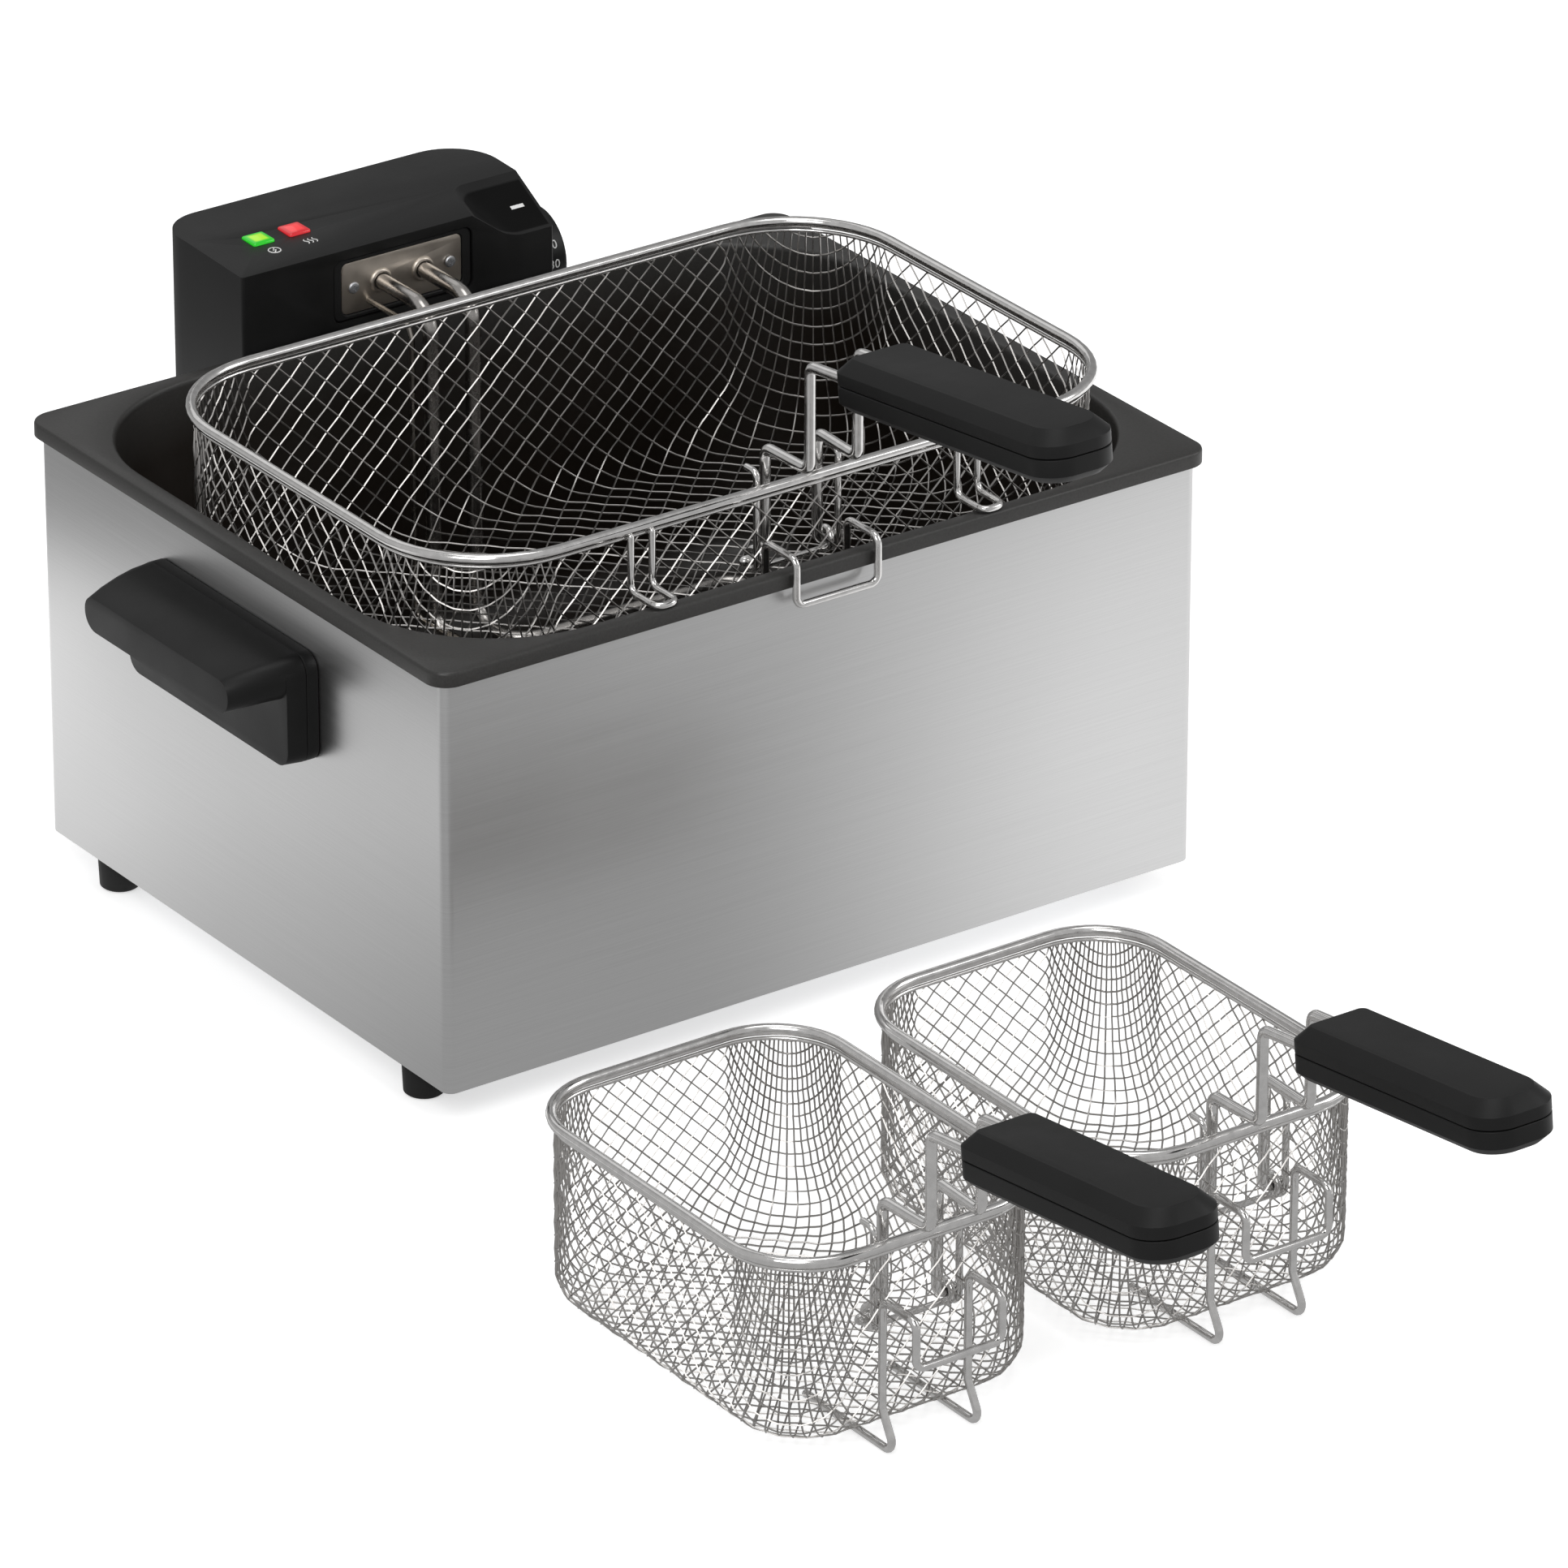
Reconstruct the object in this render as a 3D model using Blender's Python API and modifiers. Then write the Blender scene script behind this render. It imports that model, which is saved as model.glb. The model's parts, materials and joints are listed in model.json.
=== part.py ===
"""A counter-top deep fryer with one wide basket and two half-width baskets standing before it.

Run with: blender --background --python part.py
Metres, +Z up, the front of the fryer towards -Y. Each sub-part is one named object, and each
group that moves or lifts off hangs on an empty that lies on its own axis.
"""

import math

import bmesh
import bpy
from mathutils import Vector

# ---------------------------------------------------------------- driving dimensions, in metres
GAP = 0.0003                      # between pieces that touch

# Housing
HOUSING_WIDTH = 0.380
HOUSING_DEPTH = 0.305
HOUSING_SHEET = 0.001
HOUSING_CORNER = 0.0045
RETURN_FLANGE = 0.008             # lip turned in at the bottom edge
BASE_SHEET = 0.001

# Feet
FOOT_HEIGHT = 0.016
FOOT_RADIUS = 0.0095
FOOT_TAPER = 0.0006
FOOT_STEM_RADIUS = 0.003
FOOT_STEM_CLEARANCE = 0.0003
FOOT_BARB_RADIUS = 0.0045
FOOT_BARB_HEIGHT = 0.002
FOOT_INSET_X = 0.012
FOOT_INSET_Y = 0.0356

# Oil pot and its rim
RIM_HEIGHT = 0.208                # top of the rim above the counter
RIM_OVERHANG = 0.0043
RIM_SKIRT = 0.0065
RIM_CORNER = 0.010
RIM_BEVEL = 0.0012
POT_SHEET = 0.0012
POT_DEPTH = 0.150
POT_OPENING_INSET_X = 0.0048
POT_OPENING_INSET_Y = 0.0030
POT_CORNER = 0.070
POT_LIP = 0.0025
POT_DRAFT = 0.0072
POT_FLOOR_RADIUS = 0.018

# Side handles
HANDLE_LENGTH = 0.123
HANDLE_HEIGHT = 0.049
HANDLE_TOP_BELOW_RIM = 0.028
HANDLE_CORNER = 0.008
HANDLE_PLATE = 0.006
HANDLE_BODY = 0.015               # reach of the lower part from the wall
HANDLE_REACH = 0.040              # reach of the grip lip from the wall
HANDLE_LIP_LENGTH = 0.109
HANDLE_LIP_HEIGHT = 0.0145
HANDLE_LIP_DROP = 0.0055
HANDLE_FINGER_HEIGHT = 0.025      # height of the finger space at the wall
HANDLE_SCREW_SPACING = 0.070
HANDLE_SCREW_DEPTH = 0.0065       # thread in the grip
HANDLE_SCREW_HEIGHT = 0.014       # above the lower edge of the handle
SCREW_RADIUS = 0.0019
SCREW_CLEARANCE = 0.0003
SCREW_HEAD_RADIUS = 0.0035
SCREW_HEAD_HEIGHT = 0.0022

# Control head
HEAD_WIDTH = 0.160
HEAD_DEPTH = 0.069
HEAD_CENTRE_X = -0.004
HEAD_TOP_ABOVE_RIM = 0.0370
HEAD_FRONT_DROP = 0.0015          # the control panel slopes down to the front
HEAD_CREASE_TO_CORNER = 0.001     # from the panel's end to the larger back corner
HEAD_HEIGHT = 0.135
HEAD_WALL = 0.003
HEAD_CLEARANCE = 0.0013           # from the rim to the head's front face
HEAD_BACK_RADIUS_LEFT = 0.020
HEAD_BACK_RADIUS_RIGHT = 0.024
HEAD_PANEL_DEPTH = (HEAD_DEPTH - max(HEAD_BACK_RADIUS_LEFT, HEAD_BACK_RADIUS_RIGHT)
                    - HEAD_CREASE_TO_CORNER)
HEAD_FRONT_RADIUS = 0.0015
HEAD_BASE_SHEET = 0.0025
SCOOP_DROP = 0.0165               # height of the scoop at the front face
SCOOP_DEPTH = 0.0300
SCOOP_WIDTH_TOP = 0.0345
SCOOP_SIDE_RUN = 0.022
SCOOP_SIDE_SKEW = 0.0098
SCOOP_WALL = 0.004

# Heater plate, element and the parts behind them
PLATE_WIDTH = 0.0615
PLATE_HEIGHT = 0.0236
PLATE_SHEET = 0.0015
PLATE_CORNER = 0.004
PLATE_ABOVE_RIM = 0.0165
PLATE_OFFSET_X = -0.002
SEAL_WIDTH = 0.071
SEAL_HEIGHT = 0.0285
SEAL_DEPTH = 0.0022
CARRIER_DEPTH = 0.010
PLATE_SCREW_SPACING = 0.0496
PLATE_SCREW_HEAD = 0.0026
ELEMENT_RADIUS = 0.00355
ELEMENT_SPACING = 0.0216
ELEMENT_BEND = 0.013
ELEMENT_CLEARANCE = 0.0003
ELEMENT_REACH = 0.0370            # from the head's front face to the upright run
ELEMENT_ABOVE_FLOOR = 0.015
ELEMENT_MARGIN = 0.034            # from the pot's wall at the floor
ELEMENT_TAIL = 0.002
PROBE_RADIUS = 0.0013
PROBE_BULB_RADIUS = 0.003
PROBE_BULB_LENGTH = 0.060
PROBE_OFFSET_X = -0.0110

# Lights
LIGHT_SIDE = 0.0107
LIGHT_HEIGHT = 0.001
LIGHT_LEDGE = 0.0012
LIGHT_LEDGE_HEIGHT = 0.0018
LIGHT_FROM_FRONT = 0.0293
GREEN_LIGHT_FROM_LEFT = 0.0272
LIGHT_SPACING = 0.0183

# Thermostat and dial
DIAL_RADIUS = 0.0207
DIAL_THICKNESS = 0.0170
DIAL_CLEARANCE = 0.0008
DIAL_FROM_FRONT = 0.0353
DIAL_BELOW_RIM = 0.0070
SHAFT_RADIUS = 0.003
SHAFT_CLEARANCE = 0.0003
SHAFT_LENGTH = 0.022
THERMOSTAT_RADIUS = 0.0115
THERMOSTAT_LENGTH = 0.024

# Reset button, cord gland, terminal block
RESET_RADIUS = 0.0035
RESET_PROUD = 0.004
RESET_FROM_LEFT = 0.040
RESET_ABOVE_BASE = 0.040
RESET_CLEARANCE = 0.0003
RESET_STEM = 0.012
RESET_TRAVEL = 0.0025
CUTOUT_RADIUS = 0.009
CUTOUT_LENGTH = 0.016
GLAND_RADIUS = 0.0075
GLAND_NECK_RADIUS = 0.0055
GLAND_BORE = 0.0038
GLAND_LENGTH = 0.014
GLAND_FROM_RIGHT = 0.050
GLAND_ABOVE_BASE = 0.020
TERMINAL_BLOCK = (0.042, 0.014, 0.018)

# Bracket on the back wall that carries the head
BRACKET_WIDTH = 0.040
BRACKET_SHEET = 0.0015
BRACKET_SHELF_BELOW_RIM = 0.058
BRACKET_FOOT = 0.030
BRACKET_TONGUE = 0.030
BRACKET_CLEARANCE = 0.0006
BRACKET_SCREW_SPACING = 0.024

# Baskets
WIRE_RADIUS = 0.0024              # rims and handle wires
HOOK_WIRE_RADIUS = 0.0017
REST_WIRE_RADIUS = 0.0015
BRACKET_WIRE_RADIUS = 0.0015
MESH_WALL = 0.0012
MESH_FOOT_RADIUS = 0.016
MESH_FOOT_INSET = 0.0012
WIDE_BASKET = (0.3466, 0.2310)
WIDE_BASKET_CORNER = 0.052
WIDE_BASKET_DEPTH = 0.100
WIDE_BASKET_RIM_ABOVE_RIM = 0.0289
WIDE_BASKET_FRONT_INSET = 0.0174  # from the housing's front face to the basket rim
HALF_BASKET = (0.1336, 0.1802)
HALF_BASKET_CORNER = 0.034
HALF_BASKET_DEPTH = 0.0843
HALF_BASKET_PLACES = ((-0.180, -0.3785), (-0.023, -0.3817))

# Hook wire at the front of each basket
HOOK_SPACING = 0.0410
HOOK_BELOW_RIM = 0.0225
HOOK_REACH = 0.0221
HOOK_DROP = 0.0205
HOOK_LEG_CLEARANCE = 0.0003
HOOK_FOOT_REACH = 0.0092
HOOK_FOOT_RISE = 0.0165
HOOK_RAIL = 0.060
HOOK_BEND = 0.004

# Rests that hold the wide basket on the rim
REST_SPACING = 0.0105
REST_PLACE = 0.082
REST_REACH = 0.0185

# Handle wires, their bracket and grips
LEG_SPACING = 0.0262
RISER_SPACING = 0.0240
PIVOT_BELOW_RIM = 0.0345
EYE_RADIUS = 0.0044
EYE_PITCH = 0.0042
EYE_PLACE = 0.0205
LEG_TIP = 0.0235
CATCH_ABOVE_RIM = 0.0065
CATCH_LENGTH = 0.007
HANDLE_RUN = 0.0300
HANDLE_RUN_ABOVE_RIM = 0.0145
WIDE_RISER = 0.0465
HALF_RISER = 0.0410
HANDLE_NECK = 0.0255
HANDLE_TILT = math.radians(7.0)
WIRE_IN_GRIP = 0.070
WIRE_IN_GRIP_CLEARANCE = 0.0004
WIRE_BEND = 0.004
GRIP_WIDTH = 0.0385
GRIP_HEIGHT = 0.0220
GRIP_CHAMFER = 0.0055
GRIP_UNDER_CHAMFER = 0.0035
GRIP_END_RADIUS = 0.0140
GRIP_START_RADIUS = 0.0060
WIDE_GRIP_LENGTH = 0.147
HALF_GRIP_LENGTH = 0.124

ARC_STEPS = 5                     # segments in a large quarter turn
BEND_STEPS = 2                    # segments in a wire's bend
ROUND_STEPS = 20                  # segments round a turned piece

# ---------------------------------------------------------------- values that follow from them
WRAP_BOTTOM = FOOT_HEIGHT
WRAP_TOP = RIM_HEIGHT - POT_SHEET - GAP
HALF_WIDTH = HOUSING_WIDTH / 2
HALF_DEPTH = HOUSING_DEPTH / 2
RIM_BACK = HALF_DEPTH + RIM_OVERHANG
POT_FLOOR = RIM_HEIGHT - POT_DEPTH
HEAD_FRONT = RIM_BACK + HEAD_CLEARANCE
HEAD_BACK = HEAD_FRONT + HEAD_DEPTH
HEAD_LEFT = HEAD_CENTRE_X - HEAD_WIDTH / 2
HEAD_RIGHT = HEAD_CENTRE_X + HEAD_WIDTH / 2
HEAD_TOP = RIM_HEIGHT + HEAD_TOP_ABOVE_RIM
HEAD_BOTTOM = HEAD_TOP - HEAD_HEIGHT
PLATE_Z = RIM_HEIGHT + PLATE_ABOVE_RIM
CARRIER_FRONT = HEAD_FRONT + HEAD_WALL + GAP
SHELF_Z = RIM_HEIGHT - BRACKET_SHELF_BELOW_RIM

MATERIALS = {
    "brushed_steel": ((0.62, 0.62, 0.62), 0.34, 1.0),
    "zinc_steel": ((0.55, 0.56, 0.57), 0.45, 1.0),
    "enamel": ((0.035, 0.034, 0.032), 0.38, 0.0),
    "black_plastic": ((0.020, 0.020, 0.020), 0.48, 0.0),
    "rubber": ((0.015, 0.015, 0.015), 0.75, 0.0),
    "element_steel": ((0.50, 0.49, 0.47), 0.25, 1.0),
    "bright_wire": ((0.70, 0.70, 0.71), 0.18, 1.0),
    "green_lens": ((0.05, 0.85, 0.03), 0.20, 0.0),
    "red_lens": ((0.90, 0.03, 0.03), 0.20, 0.0),
    "ceramic": ((0.75, 0.73, 0.68), 0.50, 0.0),
    "brass": ((0.70, 0.53, 0.25), 0.35, 1.0),
}


# ---------------------------------------------------------------- scene helpers
def clear_scene():
    for obj in list(bpy.data.objects):
        bpy.data.objects.remove(obj, do_unlink=True)


def new_collection(name, hidden=False):
    collection = bpy.data.collections.new(name)
    collection.hide_render = hidden
    bpy.context.scene.collection.children.link(collection)
    return collection


def material(name):
    found = bpy.data.materials.get(name)
    if found:
        return found
    colour, roughness, metallic = MATERIALS[name]
    made = bpy.data.materials.new(name)
    made.use_nodes = True
    shader = made.node_tree.nodes["Principled BSDF"]
    shader.inputs["Base Color"].default_value = (*colour, 1.0)
    shader.inputs["Roughness"].default_value = roughness
    shader.inputs["Metallic"].default_value = metallic
    made.diffuse_color = (*colour, 1.0)
    return made


def place(obj, parent, location=(0, 0, 0), rotation=(0, 0, 0)):
    obj.location = location
    obj.rotation_euler = rotation
    obj.parent = parent
    return obj


def empty(name, location=(0, 0, 0), parent=None):
    made = bpy.data.objects.new(name, None)
    PARTS.objects.link(made)
    return place(made, parent, location)


def add(name, data, finish, parent, location=(0, 0, 0), rotation=(0, 0, 0)):
    """A visible sub-part with its own finish."""
    data.materials.append(material(finish))
    made = bpy.data.objects.new(name, data)
    PARTS.objects.link(made)
    return place(made, parent, location, rotation)


def cutter(name, mesh, parent=None, location=(0, 0, 0), rotation=(0, 0, 0)):
    made = bpy.data.objects.new(name, mesh)
    made.hide_render = True
    made.display_type = "WIRE"
    CUTTERS.objects.link(made)
    return place(made, parent, location, rotation)


def cut(obj, *tools):
    for tool in tools:
        modifier = obj.modifiers.new("cut_" + tool.name, "BOOLEAN")
        modifier.operation = "DIFFERENCE"
        modifier.object = tool
    return obj


def shade_round(mesh, angle=35.0):
    mesh.shade_smooth()
    mesh.set_sharp_from_angle(angle=math.radians(angle))
    return mesh


# ---------------------------------------------------------------- outlines and paths
def outline(x_low, x_high, y_low, y_high, radii, steps=ARC_STEPS):
    """Points round a rectangle, anticlockwise from its right back corner. The radii are those
    of the right back, left back, left front and right front corners, or one for all."""
    if not isinstance(radii, tuple):
        radii = (radii,) * 4
    corners = ((x_high, y_high), (x_low, y_high), (x_low, y_low), (x_high, y_low))
    points = []
    for turn, ((x, y), radius) in enumerate(zip(corners, radii)):
        inward_x = -radius if turn in (0, 3) else radius
        inward_y = -radius if turn in (0, 1) else radius
        for step in range(steps + 1):
            angle = math.radians(90 * (turn + step / steps))
            points.append((
                x + inward_x + radius * math.cos(angle),
                y + inward_y + radius * math.sin(angle),
            ))
    return points


def centred(width, depth, radius, steps=ARC_STEPS):
    return outline(-width / 2, width / 2, -depth / 2, depth / 2, radius, steps)


def at_height(points, z):
    return [(x, y, z) for x, y in points]


def bent_path(points, radius, steps=BEND_STEPS):
    """The points with each inner corner turned at the given radius."""
    points = [Vector(point) for point in points]
    path = [points[0]]
    for before, corner, after in zip(points, points[1:], points[2:]):
        back = (before - corner).normalized()
        on = (after - corner).normalized()
        half = back.angle(on) / 2
        reach = min(radius / math.tan(half), 0.48 * (before - corner).length,
                    0.48 * (after - corner).length)
        arc = reach * math.tan(half)
        centre = corner + (back + on).normalized() * (arc / math.sin(half))
        start = corner + back * reach - centre
        end = corner + on * reach - centre
        for step in range(steps + 1):
            spoke = start.normalized().slerp(end.normalized(), step / steps)
            path.append(centre + spoke * start.length)
    path.append(points[-1])
    return [tuple(point) for point in path]


def mirrored_x(points):
    """The points, then their mirror image at X = 0 in reverse order."""
    return list(points) + [(-x, y, z) for x, y, z in reversed(points)]


# ---------------------------------------------------------------- shape helpers
def loft_mesh(name, rings, cap_start=True, cap_end=True):
    """Faces between rings with equal numbers of points, closed at the ends that are capped."""
    work = bmesh.new()
    rows = [[work.verts.new(point) for point in ring] for ring in rings]
    for lower, upper in zip(rows, rows[1:]):
        count = len(lower)
        for i in range(count):
            j = (i + 1) % count
            work.faces.new((lower[i], lower[j], upper[j], upper[i]))
    if cap_start:
        work.faces.new(list(reversed(rows[0])))
    if cap_end:
        work.faces.new(rows[-1])
    if cap_start and cap_end:
        bmesh.ops.recalc_face_normals(work, faces=work.faces)
    mesh = bpy.data.meshes.new(name)
    work.to_mesh(mesh)
    work.free()
    return shade_round(mesh)


def solid(name, rings, finish, parent, **where):
    return add(name, loft_mesh(name, rings), finish, parent, **where)


def shell(name, rings, thickness, finish, parent, cap_end, **where):
    """An open lofted surface with a wall that grows inwards from it."""
    made = add(name, loft_mesh(name, rings, cap_start=False, cap_end=cap_end),
               finish, parent, **where)
    wall = made.modifiers.new("wall", "SOLIDIFY")
    wall.thickness = thickness
    wall.offset = -1
    wall.use_even_offset = True
    return made


def box_mesh(name, low, high):
    work = bmesh.new()
    bmesh.ops.create_cube(work, size=1.0)
    size = Vector(high) - Vector(low)
    middle = (Vector(high) + Vector(low)) / 2
    bmesh.ops.scale(work, vec=size, verts=work.verts)
    bmesh.ops.translate(work, vec=middle, verts=work.verts)
    mesh = bpy.data.meshes.new(name)
    work.to_mesh(mesh)
    work.free()
    return mesh


def rod_mesh(name, radius, length, steps=ROUND_STEPS):
    """A cylinder along Z with one end at the origin."""
    work = bmesh.new()
    bmesh.ops.create_cone(work, cap_ends=True, segments=steps, radius1=radius,
                          radius2=radius, depth=length)
    bmesh.ops.translate(work, vec=(0, 0, length / 2), verts=work.verts)
    mesh = bpy.data.meshes.new(name)
    work.to_mesh(mesh)
    work.free()
    return shade_round(mesh)


def turned(name, profile, finish, parent, closed=False, steps=ROUND_STEPS, **where):
    """A profile of (radius, height) points, running down its outer side, turned about Z."""
    mesh = bpy.data.meshes.new(name)
    edges = [(i, i + 1) for i in range(len(profile) - 1)]
    if closed:
        edges.append((len(profile) - 1, 0))
    mesh.from_pydata([(radius, 0, z) for radius, z in profile], edges, [])
    made = add(name, mesh, finish, parent, **where)
    screw = made.modifiers.new("turn", "SCREW")
    screw.steps = steps
    screw.render_steps = steps
    screw.use_merge_vertices = True
    screw.merge_threshold = 0.00001
    screw.use_smooth_shade = True
    return made


def wire(name, points, radius, finish, parent, closed=False, **where):
    curve = bpy.data.curves.new(name, "CURVE")
    curve.dimensions = "3D"
    curve.bevel_depth = radius
    curve.bevel_resolution = 2
    curve.use_fill_caps = not closed
    spline = curve.splines.new("POLY")
    spline.points.add(len(points) - 1)
    for spline_point, point in zip(spline.points, points):
        spline_point.co = (*point, 1.0)
    spline.use_cyclic_u = closed
    spline.use_smooth = True
    return add(name, curve, finish, parent, **where)


def flat_plate(name, outlines, thickness, finish, parent, **where):
    """A flat outline, with any holes after it, made as thick as asked about its own plane."""
    curve = bpy.data.curves.new(name, "CURVE")
    curve.dimensions = "2D"
    curve.fill_mode = "BOTH"
    curve.extrude = thickness / 2
    for points in outlines:
        spline = curve.splines.new("POLY")
        spline.points.add(len(points) - 1)
        for spline_point, (x, y) in zip(spline.points, points):
            spline_point.co = (x, y, 0.0, 1.0)
        spline.use_cyclic_u = True
    return add(name, curve, finish, parent, **where)


def circle(x, y, radius, steps=16):
    turns = [2 * math.pi * step / steps for step in range(steps)]
    return [(x + radius * math.cos(turn), y + radius * math.sin(turn)) for turn in turns]


def screw_profile(head_radius, head_height, shank_radius, shank_length):
    """A pan head above Z = 0 and its shank below."""
    return [
        (0, head_height),
        (0.6 * head_radius, head_height),
        (head_radius, 0.4 * head_height),
        (head_radius, 0),
        (shank_radius, 0),
        (shank_radius, -shank_length),
        (0, -shank_length),
    ]


# Turns that lay a piece made along Z onto another axis.
ALONG_X = (0, math.radians(90), 0)
ALONG_MINUS_X = (0, math.radians(-90), 0)
ALONG_Y = (math.radians(-90), 0, 0)
ALONG_MINUS_Y = (math.radians(90), 0, 0)
# Lays a flat outline drawn in XY upright, so that its Y becomes Z.
UPRIGHT = (math.radians(90), 0, 0)


# ---------------------------------------------------------------- housing
def build_housing(fryer):
    half_x, half_y = HALF_WIDTH, HALF_DEPTH
    lip_corner = max(HOUSING_CORNER - RETURN_FLANGE, 0.0006)
    rings = [
        at_height(centred(2 * (half_x - RETURN_FLANGE), 2 * (half_y - RETURN_FLANGE),
                          lip_corner), WRAP_BOTTOM),
        at_height(centred(HOUSING_WIDTH, HOUSING_DEPTH, HOUSING_CORNER), WRAP_BOTTOM),
        at_height(centred(HOUSING_WIDTH, HOUSING_DEPTH, HOUSING_CORNER), WRAP_TOP),
    ]
    wrap = shell("housing_wrap", rings, HOUSING_SHEET, "brushed_steel", fryer, cap_end=False)

    foot_x = half_x - FOOT_INSET_X
    foot_y = half_y - FOOT_INSET_Y
    base_bottom = WRAP_BOTTOM + HOUSING_SHEET + GAP
    inset = HOUSING_SHEET + GAP
    base_outline = centred(HOUSING_WIDTH - 2 * inset, HOUSING_DEPTH - 2 * inset,
                           HOUSING_CORNER - HOUSING_SHEET)
    stem_hole = FOOT_STEM_RADIUS + FOOT_STEM_CLEARANCE
    holes = [circle(x, y, stem_hole) for x in (-foot_x, foot_x) for y in (-foot_y, foot_y)]
    flat_plate("base_plate", [base_outline, *holes], BASE_SHEET, "zinc_steel", fryer,
               location=(0, 0, base_bottom + BASE_SHEET / 2))

    barb_bottom = base_bottom + BASE_SHEET + GAP
    profile = [
        (0, barb_bottom + FOOT_BARB_HEIGHT),
        (0.6 * FOOT_BARB_RADIUS, barb_bottom + FOOT_BARB_HEIGHT),
        (FOOT_BARB_RADIUS, barb_bottom),
        (FOOT_STEM_RADIUS, barb_bottom),
        (FOOT_STEM_RADIUS, FOOT_HEIGHT - GAP),
        (FOOT_RADIUS, FOOT_HEIGHT - GAP),
        (FOOT_RADIUS - FOOT_TAPER, 0.001),
        (FOOT_RADIUS - FOOT_TAPER - 0.001, 0),
        (0, 0),
    ]
    for side, x in (("left", -foot_x), ("right", foot_x)):
        for end, y in (("front", -foot_y), ("back", foot_y)):
            turned(f"foot_{end}_{side}", profile, "rubber", fryer, steps=16, location=(x, y, 0))
    return wrap


def handle_rings(side):
    """Upright sections of the grip, from its seat on the plate out to the lip."""
    top = RIM_HEIGHT - HANDLE_TOP_BELOW_RIM
    bottom = top - HANDLE_HEIGHT
    lip_top = top - HANDLE_LIP_DROP
    lip_bottom = lip_top - HANDLE_LIP_HEIGHT
    seat = HANDLE_PLATE + 2 * GAP
    sections = (
        (seat, HANDLE_LENGTH, bottom, top, HANDLE_CORNER),
        (HANDLE_BODY, HANDLE_LENGTH - 0.003, bottom, top + 0.0006, HANDLE_CORNER),
        (0.7 * HANDLE_REACH, HANDLE_LENGTH - 0.008, bottom + 0.010, top - 0.0015, HANDLE_CORNER),
        (0.94 * HANDLE_REACH, HANDLE_LIP_LENGTH + 0.001, lip_bottom - 0.006, lip_top,
         0.9 * HANDLE_CORNER),
        (HANDLE_REACH, HANDLE_LIP_LENGTH - 0.003, lip_bottom - 0.004, lip_top - 0.002,
         0.8 * HANDLE_CORNER),
    )
    rings = []
    for reach, length, low, high, radius in sections:
        ring = outline(-length / 2, length / 2, low, high, radius)
        rings.append([(side * (HALF_WIDTH + reach), y, z) for y, z in ring])
    return rings


def build_side_handle(fryer, wrap, name, side):
    top = RIM_HEIGHT - HANDLE_TOP_BELOW_RIM
    bottom = top - HANDLE_HEIGHT
    plate_rings = []
    for reach in (GAP, HANDLE_PLATE + GAP):
        ring = outline(-HANDLE_LENGTH / 2, HANDLE_LENGTH / 2, bottom, top, HANDLE_CORNER)
        plate_rings.append([(side * (HALF_WIDTH + reach), y, z) for y, z in ring])
    plate = solid(f"side_handle_plate_{name}", plate_rings, "black_plastic", fryer)
    grip = solid(f"side_handle_grip_{name}", handle_rings(side), "black_plastic", fryer)

    body = side * (HALF_WIDTH + HANDLE_BODY)
    lip = side * (HALF_WIDTH + HANDLE_REACH + 0.010)
    under_body = bottom + HANDLE_FINGER_HEIGHT
    under_lip = top - HANDLE_LIP_DROP - HANDLE_LIP_HEIGHT + 0.001
    corners = [(body, bottom - 0.010), (lip, bottom - 0.010), (lip, under_lip),
               (body, under_body)]
    space_rings = [[(x, y, z) for x, z in corners] for y in (HANDLE_LENGTH, -HANDLE_LENGTH)]
    cut(grip, cutter(f"finger_space_{name}", loft_mesh(f"finger_space_{name}", space_rings),
                     fryer))

    inner_face = HALF_WIDTH - HOUSING_SHEET - GAP
    shank = HOUSING_SHEET + HANDLE_PLATE + HANDLE_SCREW_DEPTH + 3 * GAP
    profile = screw_profile(SCREW_HEAD_RADIUS, SCREW_HEAD_HEIGHT, SCREW_RADIUS, shank)
    hole_length = shank + SCREW_CLEARANCE + 2 * GAP
    turn = ALONG_MINUS_X if side > 0 else ALONG_X
    for end, y in (("front", -HANDLE_SCREW_SPACING / 2), ("back", HANDLE_SCREW_SPACING / 2)):
        seat = (side * inner_face, y, bottom + HANDLE_SCREW_HEIGHT)
        turned(f"handle_screw_{end}_{name}", profile, "zinc_steel", fryer, steps=12,
               location=seat, rotation=turn)
        hole = cutter(f"handle_screw_hole_{end}_{name}",
                      rod_mesh("hole", SCREW_RADIUS + SCREW_CLEARANCE, hole_length, 12),
                      fryer, seat, ALONG_X if side > 0 else ALONG_MINUS_X)
        cut(wrap, hole)
        cut(plate, hole)
        cut(grip, hole)


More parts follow.
